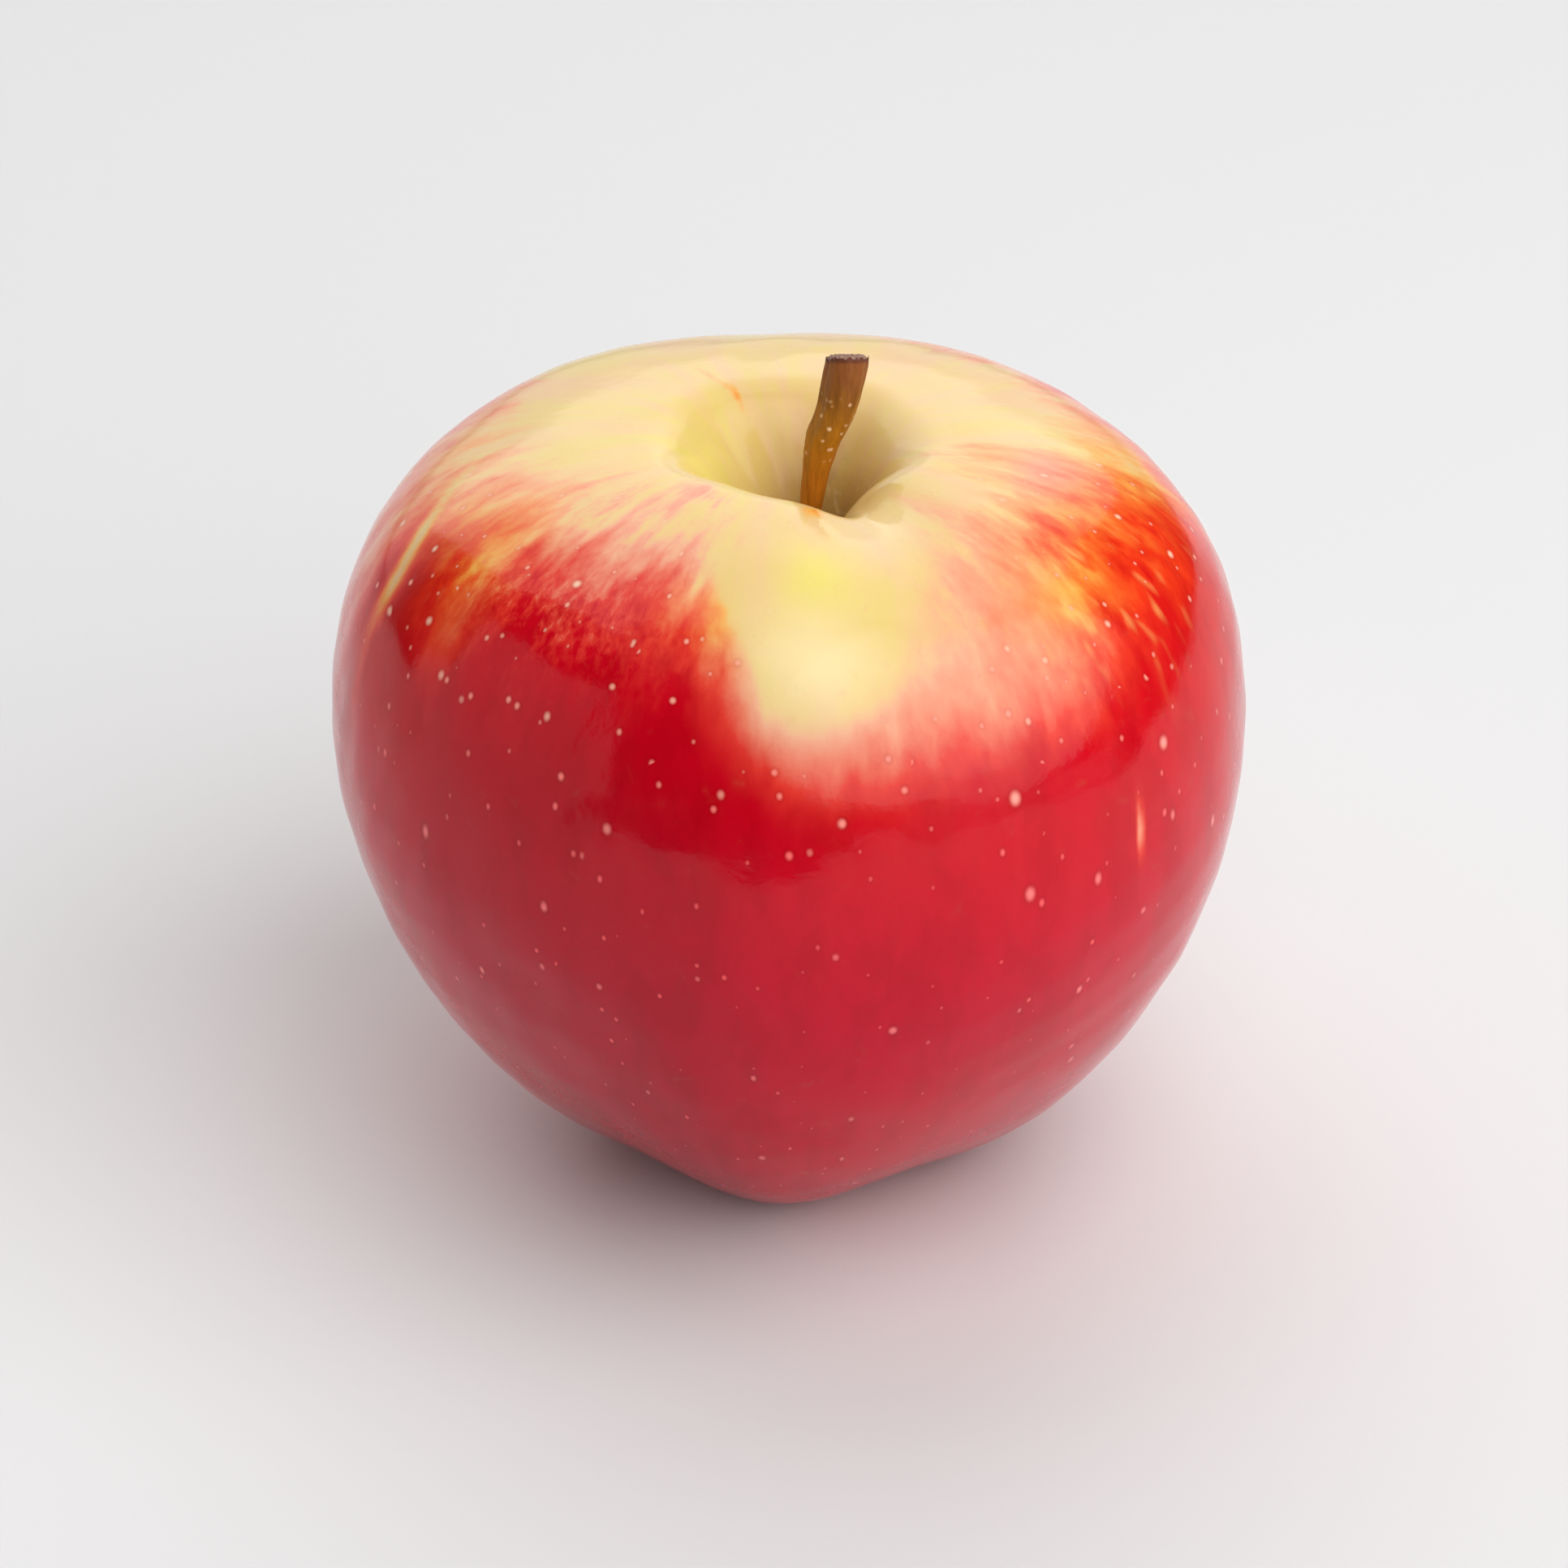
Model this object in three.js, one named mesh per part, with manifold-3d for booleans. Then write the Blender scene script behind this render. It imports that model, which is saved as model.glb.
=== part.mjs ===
// A red eating apple. The fruit has a deep stalk cavity and, underneath, a shallow calyx basin
// with five lobes around it. The woody stalk stands in the cavity, and the basin holds what is
// left of the flower: five dried sepals round a tuft of dried stamens.
// Millimetres, +Z up. The apple stands on the crowns of its five lobes, and the origin is on
// the surface it stands on, under the middle of its bounding box.
import * as THREE from "three";
import { mergeVertices } from "three/addons/utils/BufferGeometryUtils.js";
import Module from "manifold-3d";

// ---- Driving dimensions of the fruit ----
const EQUATOR_RADIUS = 38; // widest ring
const EQUATOR_HEIGHT = 38.7;
const SHOULDER_RADIUS = 12.2; // crest ring round the stalk cavity
const SHOULDER_HEIGHT = 64.5;
const BASE_RADIUS = 11; // ring of the five crowns that it stands on
const BASIN_FLOOR = 8; // height of the calyx basin's roof above the crowns
const CAVITY_FLOOR = 46; // height of the stalk cavity's floor
const SOCKET_RADIUS = 1.9; // the cavity's narrow foot, round the stalk

// How far each stretch of the profile runs on along its end tangents: longer is fuller
const BASE_FULLNESS = 9.6;
const FLANK_FULLNESS = 16.5;
const UPPER_FLANK_FULLNESS = 22.4;
const SHOULDER_FULLNESS = 11.5;
const CAVITY_LIP = 6;
const CAVITY_FUNNEL = new THREE.Vector2(3.1, 53);

// What makes it an apple and not a solid of revolution
const LOBES = 5;
const BASE_LOBE = 0.06; // swell of the lobes at the base, as a share of the radius
const BASE_LOBE_TURN = -4.5; // degrees from the -Y side to the nearest lobe's middle
const TOP_LOBE = 0.03;
const TOP_LOBE_TURN = 4;
const CROWN_RISE = 1.2; // the base between two crowns stands this far off the ground
const FOOT_CUT = 0.3; // depth of the small flat that each crown rests on
const OVAL = 0.011; // two-sided and three-sided lack of roundness at the equator
const OVAL_TURN = 35;
const THREE_SIDED = 0.01;
const THREE_SIDED_TURN = 20;
const SHOULDER_LEAN = -0.6; // degrees: the +X shoulder is a little lower
const FURROW_DEPTH = 2.3; // one soft furrow runs out of the cavity over the shoulder
const FURROW_TURN = 27;
const FURROW_WIDTH = 17;

// ---- Driving dimensions of the stalk ----
const FIT_GAP = 0.3; // clearance between pieces that touch
const STALK_FOOT = CAVITY_FLOOR + FIT_GAP;
const STALK_TOP = 72.1;
// radius at shares of the stalk's height: narrow low down, swollen at the broken end
const STALK_RADII = [
  [0, 1.25],
  [0.22, 0.95],
  [0.45, 0.9],
  [0.6, 1.2],
  [0.73, 1.6],
  [0.88, 1.75],
  [1, 1.75],
];
// sideways drift towards +X at even heights, with the knee two thirds up
const STALK_LEAN = [0, 0.36, 0.84, 1.42, 1.87, 2.76, 3.93, 4.45];
const STALK_FACETS = 14;

// ---- Driving dimensions of the dried flower ----
const SEPAL_COUNT = 5;
const SEPAL_FOOT = 6.6; // height that each sepal hangs from
const SEPAL_LENGTH = 5;
const SEPAL_WIDTH = 2.6;
const SEPAL_THICKNESS = 0.5;
const SEPAL_FOOT_RADIUS = 2.3; // distance of each sepal's foot from the axis
const SEPAL_SPREAD = 1.7; // how far the tip leans outwards
const STAMEN_COUNT = 9;
const STAMEN_BUTTON_RADIUS = 1.5;
const STAMEN_LENGTH = 3.2;
const STAMEN_FOOT = 7.1; // top of the button that the filaments grow from

// ---- Fineness ----
const TURN_STEPS = 72;
const BASIN_STEPS = 7;
const FLANK_STEPS = 15;
const CAVITY_STEPS = 14;
const SOCKET_STEPS = 3;
const CROWN_CROWDING = 1.6; // above 1, steps crowd towards the crowns that it stands on

// ---- Materials ----
const skin = new THREE.MeshStandardMaterial({ color: 0xb5182a, roughness: 0.28, metalness: 0 });
const bark = new THREE.MeshStandardMaterial({ color: 0x7a4a1e, roughness: 0.75, metalness: 0 });
const driedLeaf = new THREE.MeshStandardMaterial({ color: 0x5b4a2c, roughness: 0.9, metalness: 0 });
const driedStamen = new THREE.MeshStandardMaterial({ color: 0x3a2a1a, roughness: 0.9, metalness: 0 });

const radians = THREE.MathUtils.degToRad;
const ease = (value, start, end) => THREE.MathUtils.smoothstep(value, start, end);

function named(name, geometry, material) {
  const mesh = new THREE.Mesh(geometry, material);
  mesh.name = name;
  return mesh;
}

// ---- Fruit ----
// The profile is five Bezier stretches from the middle of the basin round to the middle of the
// cavity. Each point keeps its station: -1 basin, 0 base crowns, 1 equator, 2 shoulder crest,
// 3 foot of the cavity, 4 middle of its floor. Each stretch starts with its number of steps and
// how they are spread.
function fruitProfile() {
  const even = (share) => share;
  const stretches = [
    [
      BASIN_STEPS,
      (share) => 1 - (1 - share) ** CROWN_CROWDING,
      [0, BASIN_FLOOR],
      [BASE_RADIUS * 0.45, BASIN_FLOOR],
      [BASE_RADIUS * 0.5, 0],
      [BASE_RADIUS, 0],
    ],
    [
      FLANK_STEPS,
      (share) => share ** CROWN_CROWDING,
      [BASE_RADIUS, 0],
      [BASE_RADIUS + BASE_FULLNESS, 0],
      [EQUATOR_RADIUS, EQUATOR_HEIGHT - FLANK_FULLNESS],
      [EQUATOR_RADIUS, EQUATOR_HEIGHT],
    ],
    [
      FLANK_STEPS,
      even,
      [EQUATOR_RADIUS, EQUATOR_HEIGHT],
      [EQUATOR_RADIUS, EQUATOR_HEIGHT + UPPER_FLANK_FULLNESS],
      [SHOULDER_RADIUS + SHOULDER_FULLNESS, SHOULDER_HEIGHT],
      [SHOULDER_RADIUS, SHOULDER_HEIGHT],
    ],
    [
      CAVITY_STEPS,
      even,
      [SHOULDER_RADIUS, SHOULDER_HEIGHT],
      [SHOULDER_RADIUS - CAVITY_LIP, SHOULDER_HEIGHT],
      CAVITY_FUNNEL.toArray(),
      [SOCKET_RADIUS, CAVITY_FLOOR + 0.6],
    ],
    [
      SOCKET_STEPS,
      even,
      [SOCKET_RADIUS, CAVITY_FLOOR + 0.6],
      [SOCKET_RADIUS - 0.1, CAVITY_FLOOR + 0.1],
      [SOCKET_RADIUS * 0.6, CAVITY_FLOOR],
      [0, CAVITY_FLOOR],
    ],
  ];
  const points = [];
  const stations = [];
  stretches.forEach(([steps, spread, ...corners], index) => {
    const curve = new THREE.CubicBezierCurve(...corners.map((xy) => new THREE.Vector2(...xy)));
    const last = index === stretches.length - 1 ? steps : steps - 1;
    for (let step = 0; step <= last; step += 1) {
      const share = spread(step / steps);
      points.push(curve.getPoint(share));
      stations.push(index - 1 + share);
    }
  });
  return { points, stations };
}

// Cosine of a wave with so many crests round the apple, one of them at the given turn
function wave(turn, crests, crestTurn) {
  return Math.cos(crests * (turn - radians(crestTurn)));
}

// Moves one point of the turned solid to where the apple has it: swells the lobes, lifts the
// hollows between the base crowns, sinks the furrow and leans the shoulder
function grow(point, station) {
  const turn = Math.atan2(point.x, -point.y);
  const lower = 1 - ease(station, 0, 1);
  const outside = 1 - ease(station, 2.2, 2.9);
  const upper = ease(station, 1, 1.9) * outside;
  const middle = Math.exp(-(((station - 1) / 0.8) ** 2));
  const baseWave = wave(turn, LOBES, BASE_LOBE_TURN);
  const swell =
    1 +
    BASE_LOBE * lower * baseWave +
    TOP_LOBE * upper * wave(turn, LOBES, TOP_LOBE_TURN) +
    OVAL * middle * wave(turn, 2, OVAL_TURN) +
    THREE_SIDED * middle * wave(turn, 3, THREE_SIDED_TURN);
  point.x *= swell;
  point.y *= swell;

  const nearCrowns = Math.exp(-((station / 0.25) ** 2));
  const fromFurrow = THREE.MathUtils.euclideanModulo(
    turn - radians(FURROW_TURN) + Math.PI,
    2 * Math.PI,
  ) - Math.PI;
  const inFurrow =
    Math.exp(-((fromFurrow / radians(FURROW_WIDTH)) ** 2)) *
    Math.exp(-(((station - 2.15) / 0.35) ** 2));
  const leaning = ease(station, 0, 1) * outside;
  point.z += (CROWN_RISE * nearCrowns * (1 - baseWave)) / 2;
  point.z -= FURROW_DEPTH * inFurrow;
  point.z += Math.tan(radians(SHOULDER_LEAN)) * point.x * leaning;
  point.z = Math.max(point.z - FOOT_CUT, 0);
}

function fruit() {
  const { points, stations } = fruitProfile();
  const geometry = new THREE.LatheGeometry(points, TURN_STEPS);
  geometry.rotateX(Math.PI / 2);
  const position = geometry.attributes.position;
  const point = new THREE.Vector3();
  for (let index = 0; index < position.count; index += 1) {
    point.fromBufferAttribute(position, index);
    grow(point, stations[index % stations.length]);
    position.setXYZ(index, point.x, point.y, point.z);
  }
  geometry.computeVertexNormals();
  return named("fruit", geometry, skin);
}

// ---- Stalk ----
// A turned spindle, cut flat at both ends, whose rings drift sideways as they rise
function stalk() {
  const radii = new THREE.CatmullRomCurve3(
    STALK_RADII.map(([share, radius]) => new THREE.Vector3(radius, share, 0)),
  );
  const sides = radii.getPoints(STALK_FACETS).map(({ x, y }) => {
    return new THREE.Vector2(x, THREE.MathUtils.lerp(STALK_FOOT, STALK_TOP, y));
  });
  const profile = [
    new THREE.Vector2(0, STALK_FOOT),
    ...sides,
    new THREE.Vector2(0, STALK_TOP),
  ];
  const geometry = new THREE.LatheGeometry(profile, STALK_FACETS);
  geometry.rotateX(Math.PI / 2);
  const lean = new THREE.SplineCurve(
    STALK_LEAN.map((drift, index) => new THREE.Vector2(drift, index / (STALK_LEAN.length - 1))),
  );
  const position = geometry.attributes.position;
  for (let index = 0; index < position.count; index += 1) {
    const share = (position.getZ(index) - STALK_FOOT) / (STALK_TOP - STALK_FOOT);
    const drift = lean.getPoint(THREE.MathUtils.clamp(share, 0, 1)).x;
    position.setX(index, position.getX(index) + drift);
  }
  geometry.computeVertexNormals();
  return named("stalk", geometry, bark);
}

// ---- Dried flower ----
// One sepal: a flattened spindle that hangs down and curls outwards to its point
function sepal(number) {
  const halfWidths = [0, 0.62, 1, 0.96, 0.72, 0.38, 0];
  const profile = halfWidths.map((share, index) => {
    const along = index / (halfWidths.length - 1);
    return new THREE.Vector2((share * SEPAL_WIDTH) / 2, -along * SEPAL_LENGTH);
  });
  const geometry = new THREE.LatheGeometry(profile.reverse(), 10);
  geometry.rotateX(Math.PI / 2);
  geometry.scale(1, SEPAL_THICKNESS / SEPAL_WIDTH, 1);
  const position = geometry.attributes.position;
  for (let index = 0; index < position.count; index += 1) {
    const along = -position.getZ(index) / SEPAL_LENGTH;
    const across = position.getX(index) / (SEPAL_WIDTH / 2);
    const curl = SEPAL_SPREAD * along ** 2;
    const cup = 0.35 * across ** 2 * (1 - along);
    position.setY(index, position.getY(index) - SEPAL_FOOT_RADIUS - curl + cup);
  }
  geometry.computeVertexNormals();
  const mesh = named(`calyx_sepal_${number}`, geometry, driedLeaf);
  mesh.position.z = SEPAL_FOOT;
  mesh.rotation.z = radians(BASE_LOBE_TURN) + ((number - 0.5) * 2 * Math.PI) / SEPAL_COUNT;
  return mesh;
}

// A round closed mesh turned into a solid that can be joined to others
function solidOf(wasm, geometry) {
  geometry.deleteAttribute("normal");
  geometry.deleteAttribute("uv");
  const merged = mergeVertices(geometry, 1e-4);
  return new wasm.Manifold(
    new wasm.Mesh({
      numProp: 3,
      vertProperties: Float32Array.from(merged.attributes.position.array),
      triVerts: Uint32Array.from(merged.index.array),
    }),
  );
}

// A small button that carries the withered filaments, which splay a little and end in a knob
async function stamens() {
  const wasm = await Module();
  wasm.setup();
  const button = new THREE.CylinderGeometry(
    STAMEN_BUTTON_RADIUS,
    STAMEN_BUTTON_RADIUS * 0.8,
    0.9,
    16,
  );
  button.rotateX(Math.PI / 2);
  button.translate(0, 0, STAMEN_FOOT - 0.45);
  let tuft = solidOf(wasm, button);
  for (let index = 0; index < STAMEN_COUNT; index += 1) {
    const turn = (index * 2 * Math.PI) / STAMEN_COUNT;
    const length = STAMEN_LENGTH * (index % 2 ? 1 : 0.8);
    const filament = new THREE.CapsuleGeometry(0.22, length, 2, 6);
    filament.rotateX(Math.PI / 2);
    filament.translate(0, 0, -length / 2);
    filament.rotateY(-0.16 - 0.1 * (index % 3));
    filament.translate(STAMEN_BUTTON_RADIUS * 0.6, 0, STAMEN_FOOT - 0.6);
    filament.rotateZ(turn);
    tuft = tuft.add(solidOf(wasm, filament));
  }
  const mesh = tuft.getMesh();
  const geometry = new THREE.BufferGeometry();
  geometry.setAttribute("position", new THREE.BufferAttribute(mesh.vertProperties, 3));
  geometry.setIndex(new THREE.BufferAttribute(mesh.triVerts, 1));
  geometry.computeVertexNormals();
  return named("dried_stamens", geometry, driedStamen);
}

// ---- Assembly ----
const apple = new THREE.Group();
apple.add(fruit());
apple.add(stalk());
for (let number = 1; number <= SEPAL_COUNT; number += 1) {
  apple.add(sepal(number));
}
apple.add(await stamens());

const box = new THREE.Box3().setFromObject(apple, true);
const middle = box.getCenter(new THREE.Vector3());
apple.position.set(-middle.x, -middle.y, 0);

export default apple;
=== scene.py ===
# %% [markdown]
# # A red apple, finished in Blender
#
# The CAD model gives the apple's sizes and places: the fruit, its stalk, and under it the five
# dried sepals and the tuft of stamens that are left of the flower. This lesson gives each of
# them the surface that grew on the real one. It loads the CAD model first, because every new
# piece has to lie where the CAD piece lies.

# %% Load the CAD model
import math

import bpy
import numpy as np
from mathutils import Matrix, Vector


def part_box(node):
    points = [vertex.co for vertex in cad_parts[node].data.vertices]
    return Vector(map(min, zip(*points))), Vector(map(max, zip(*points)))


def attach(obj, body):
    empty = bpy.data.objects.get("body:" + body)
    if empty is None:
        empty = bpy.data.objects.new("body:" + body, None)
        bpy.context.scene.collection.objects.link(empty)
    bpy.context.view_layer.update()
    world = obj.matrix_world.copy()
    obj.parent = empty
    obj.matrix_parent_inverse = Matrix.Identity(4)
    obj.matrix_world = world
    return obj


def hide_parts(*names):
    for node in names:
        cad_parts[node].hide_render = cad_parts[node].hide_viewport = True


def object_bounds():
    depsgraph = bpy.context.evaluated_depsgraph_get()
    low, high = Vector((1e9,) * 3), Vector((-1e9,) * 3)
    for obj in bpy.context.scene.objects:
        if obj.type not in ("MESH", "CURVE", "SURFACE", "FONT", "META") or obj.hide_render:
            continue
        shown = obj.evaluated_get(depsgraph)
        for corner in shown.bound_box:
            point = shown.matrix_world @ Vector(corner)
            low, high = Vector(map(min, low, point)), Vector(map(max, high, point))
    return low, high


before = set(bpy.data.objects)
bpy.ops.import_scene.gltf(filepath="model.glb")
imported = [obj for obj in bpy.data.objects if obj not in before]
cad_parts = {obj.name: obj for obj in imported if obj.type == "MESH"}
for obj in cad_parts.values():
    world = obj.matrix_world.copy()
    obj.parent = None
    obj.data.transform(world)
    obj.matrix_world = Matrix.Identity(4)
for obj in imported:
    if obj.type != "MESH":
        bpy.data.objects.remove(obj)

MM = 0.001
cad_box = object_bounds()
fruit_low, fruit_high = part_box("fruit")
fruit_middle = (fruit_low + fruit_high) / 2
print("CAD nodes:", sorted(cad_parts))
print("fruit, mm:", [round(side / MM, 1) for side in fruit_high - fruit_low])

# %% [markdown]
# ## The camera
#
# An apple looks most like itself from a little above, where the eye sees into the stalk cavity
# and still reads the tapering flank. A long lens from half a metre keeps the shape from
# swelling towards the viewer. The camera is set by where it stands round the fruit: its
# distance, its height as an angle, and the point that it looks at.

# %% Camera
CAMERA_DISTANCE = 0.5
CAMERA_ELEVATION = 29
LENS = 137.3
AIM = fruit_middle + Vector((-0.35, -0.2, 0.1)) * MM


def direction(azimuth, elevation):
    """Unit vector towards a place in the studio. Azimuth 0 is -Y, in front, and 90 is +X."""
    around, up = math.radians(azimuth), math.radians(elevation)
    return Vector((math.sin(around) * math.cos(up), -math.cos(around) * math.cos(up), math.sin(up)))


def look_at(thing, target):
    """Turns a camera or a lamp so that its -Z axis points at the target."""
    thing.rotation_euler = (target - thing.location).to_track_quat("-Z", "Y").to_euler()


def add_object(name, data):
    """A new object in the scene, at the origin."""
    made = bpy.data.objects.new(name, data)
    bpy.context.collection.objects.link(made)
    return made


camera = add_object("camera", bpy.data.cameras.new("camera"))
camera.data.lens = LENS
camera.location = AIM + direction(0, CAMERA_ELEVATION) * CAMERA_DISTANCE
look_at(camera, AIM)
bpy.context.scene.camera = camera
bpy.context.scene.view_settings.view_transform = "Standard"
print("camera at, mm:", [round(side / MM) for side in camera.location])

# %% [markdown]
# ## Node helpers
#
# Every material below is a small network of nodes. These helpers keep the networks readable:
# one adds a node and fills its inputs, and the others stand for the nodes used most. A socket
# knows the tree that it lies in, so only the nodes that start a network need to be told it.

# %% Node helpers


def fill(tree, node, inputs):
    """Links each input that is given a socket, and sets the others."""
    for name, value in inputs.items():
        if isinstance(value, bpy.types.NodeSocket):
            tree.links.new(value, node.inputs[name])
        else:
            node.inputs[name].default_value = value


def put(tree, kind, inputs=None, **settings):
    """Adds a node, sets its options and fills its inputs."""
    made = tree.nodes.new(kind)
    for name, value in settings.items():
        setattr(made, name, value)
    fill(tree, made, inputs or {})
    return made


def tree_of(*values):
    """The node tree in which the first socket among the values lies."""
    return next(value.id_data for value in values if isinstance(value, bpy.types.NodeSocket))


# %% Sums, blends and scales
MIX_FACTOR, MIX_A, MIX_B, MIX_RESULT = 0, 6, 7, 2


def calc(operation, first, second, clamp=False):
    """One sum on two numbers, at least one of which is a socket."""
    inputs = {0: first, 1: second}
    made = put(tree_of(first, second), "ShaderNodeMath", inputs, operation=operation, use_clamp=clamp)
    return made.outputs[0]


def plus(first, second, clamp=False):
    """The first number and the second."""
    return calc("ADD", first, second, clamp)


def minus(first, second, clamp=False):
    """The first number less the second."""
    return calc("SUBTRACT", first, second, clamp)


def times(first, second):
    """The first number multiplied by the second."""
    return calc("MULTIPLY", first, second)


def blend(factor, under, over, mode="MIX"):
    """Lays one colour over another by a factor."""
    inputs = {MIX_FACTOR: factor, MIX_A: under, MIX_B: over}
    tree = tree_of(factor, under, over)
    made = put(tree, "ShaderNodeMix", inputs, data_type="RGBA", blend_type=mode)
    return made.outputs[MIX_RESULT]


def ramp(value, stops):
    """A scale of colours or greys: a list of (place from 0 to 1, colour)."""
    made = put(value.id_data, "ShaderNodeValToRGB", {"Fac": value})
    scale = made.color_ramp
    while len(scale.elements) < len(stops):
        scale.elements.new(0.5)
    for element, (place, colour) in zip(scale.elements, stops):
        element.position = place
        element.color = (*colour, 1.0)
    return made.outputs["Color"]


def rescale(value, low, high, to_low=0.0, to_high=1.0):
    """Moves a number from one range to another, with soft ends, and holds it there."""
    inputs = {"Value": value, "From Min": low, "From Max": high, "To Min": to_low, "To Max": to_high}
    made = put(value.id_data, "ShaderNodeMapRange", inputs, interpolation_type="SMOOTHSTEP", clamp=True)
    return made.outputs["Result"]


# %% A new material


def new_material(name):
    """A material with nothing but a Principled shader, its tree and the shader."""
    material = bpy.data.materials.new(name)
    material.use_nodes = True
    tree = material.node_tree
    tree.nodes.clear()
    shader = put(tree, "ShaderNodeBsdfPrincipled")
    put(tree, "ShaderNodeOutputMaterial", {"Surface": shader.outputs["BSDF"]})
    return material, tree, shader


# %% [markdown]
# ## The studio
#
# A waxy skin is a curved mirror: half of what makes it look real is what it reflects. A white
# table shows as a pale veil over the lower half. Higher up an umbrella in front, brighter in
# its middle, gives the wide bright field on the right, a window panel the upright one on the
# left, and a box behind and above lights the far shoulder. The room between them is dim, and
# there the skin shows its full colour. Only its back wall and a low cove on the right are pale.
#
# The camera itself sees a pale backdrop. An evenly lit dome would be simpler, but it makes the
# whole skin milky.

# %% Table
TABLE_RADIUS = 3
TABLE_SIDES = 96
TABLE_WHITE = (0.75, 0.75, 0.75, 1)


def full_turn(count):
    """So many even turns round a circle, in radians, starting at 0."""
    return np.linspace(0, 2 * np.pi, count, endpoint=False)


def flat_mesh(name, corners):
    """One flat face through the given corners."""
    mesh = bpy.data.meshes.new(name)
    mesh.from_pydata(corners, [], [list(range(len(corners)))])
    return mesh


def disc(radius, sides, height):
    """Corners at the radius times the cosine and sine of an even turn."""
    turn = full_turn(sides)
    return np.stack([radius * np.cos(turn), radius * np.sin(turn), np.full(sides, height)], -1)


table = add_object("table", flat_mesh("table", disc(TABLE_RADIUS, TABLE_SIDES, cad_box[0].z).tolist()))
table_paint, tree, shader = new_material("table_paint")
fill(tree, shader, {"Base Color": TABLE_WHITE, "Roughness": 0.6, "Specular IOR Level": 0.2})
table.data.materials.append(table_paint)
print("table at height, mm:", round(cad_box[0].z / MM, 2))

# %% [markdown]
# ## The black card
#
# A low black card in front widens the dark band between the table's veil and the lamps, as is
# often done for glass and polished metal. Only reflections see it, so it throws no shadow and
# the camera looks through it.

# %% Black card
CARD_AZIMUTH = -20
CARD_DISTANCE = 0.2
CARD_WIDTH = 0.26
CARD_FOOT = 0.015
CARD_HEIGHT = 0.029
CARD_BLACK = (0.01, 0.01, 0.01, 1)


def card_corners():
    """An upright rectangle a little above the table, square to the line from the apple to it."""
    foot = direction(CARD_AZIMUTH, 0) * CARD_DISTANCE + Vector((0, 0, CARD_FOOT))
    half = direction(CARD_AZIMUTH + 90, 0) * CARD_WIDTH / 2
    rise = Vector((0, 0, CARD_HEIGHT))
    return [foot - half, foot + half, foot + half + rise, foot - half + rise]


card = add_object("black_card", flat_mesh("black_card", card_corners()))
card_paint, tree, shader = new_material("card_black")
fill(tree, shader, {"Base Color": CARD_BLACK, "Roughness": 0.9})
card.data.materials.append(card_paint)
card.visible_camera = card.visible_diffuse = card.visible_shadow = False
print("card, mm:", round(CARD_WIDTH / MM), "wide,", round(CARD_HEIGHT / MM), "high")

# %% [markdown]
# ## The room
#
# What no lamp covers is painted on the world, by the direction looked in. A real room could be
# built of walls, but a few soft ranges are enough for a reflection. The Light Path node keeps
# the room for light and reflections, and shows the camera an even backdrop.

# %% Room
ROOM_DIM = (0.03, 0.03, 0.032, 1)
ROOM_BACK = (0.95, 0.95, 0.95, 1)
ROOM_CEILING = (0.3, 0.3, 0.3, 1)
ROOM_COVE = (0.75, 0.75, 0.75, 1)
BACKDROP = (0.93, 0.93, 0.93, 1)
# Where each part of the room begins and where it is full, along one side of the direction
BACK_DEPTH, BACK_RIGHT_END = (0.45, 0.8), (0.45, 0.2)
CEILING_RISE = (0.7, 0.95)
COVE_RIGHT, COVE_FRONT, COVE_TOP = (0.4, 0.6), (0.05, -0.1), (0.09, 0.06)

room = bpy.data.worlds.new("room")
bpy.context.scene.world = room
room.use_nodes = True
tree = room.node_tree
tree.nodes.clear()
towards = put(tree, "ShaderNodeTexCoord").outputs["Generated"]
apart = put(tree, "ShaderNodeSeparateXYZ", {0: towards})
right, away, up = (apart.outputs[side] for side in "XYZ")
behind = times(rescale(away, *BACK_DEPTH), rescale(right, *BACK_RIGHT_END))
walls = blend(rescale(up, *CEILING_RISE), ROOM_DIM, ROOM_CEILING)
walls = blend(behind, walls, ROOM_BACK)
beside = times(rescale(right, *COVE_RIGHT), rescale(away, *COVE_FRONT))
cove = times(beside, rescale(up, *COVE_TOP))
walls = blend(cove, walls, ROOM_COVE)
seen = put(tree, "ShaderNodeLightPath").outputs["Is Camera Ray"]
colour = blend(seen, walls, BACKDROP)
light = put(tree, "ShaderNodeBackground", {"Color": colour, "Strength": 1.0})
put(tree, "ShaderNodeOutputWorld", {"Surface": light.outputs[0]})
print("nodes in the room:", len(tree.nodes))

# %% [markdown]
# ## The lamps
#
# Area lamps are seen in the gloss as soft bright shapes. The umbrella is two ellipses, a large
# one and a smaller one in front of it, because a real umbrella is brighter in its middle. The
# left fill lights the skin but isn't reflected, since the window panel already shows there. The
# panel narrows towards its head, which no area lamp can do, so it is a glowing mesh.

# %% Soft boxes


def soft_box(name, azimuth, elevation, distance, width, height, brightness, shape):
    """A lit panel that faces the fruit. Its power is pi times brightness, width and height."""
    lamp = bpy.data.lights.new(name, "AREA")
    lamp.shape = shape
    lamp.size, lamp.size_y = width, height
    lamp.energy = brightness * math.pi * width * height
    box = add_object(name, lamp)
    box.location = fruit_middle + direction(azimuth, elevation) * distance
    look_at(box, fruit_middle)
    box.visible_camera = False
    return box


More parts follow.
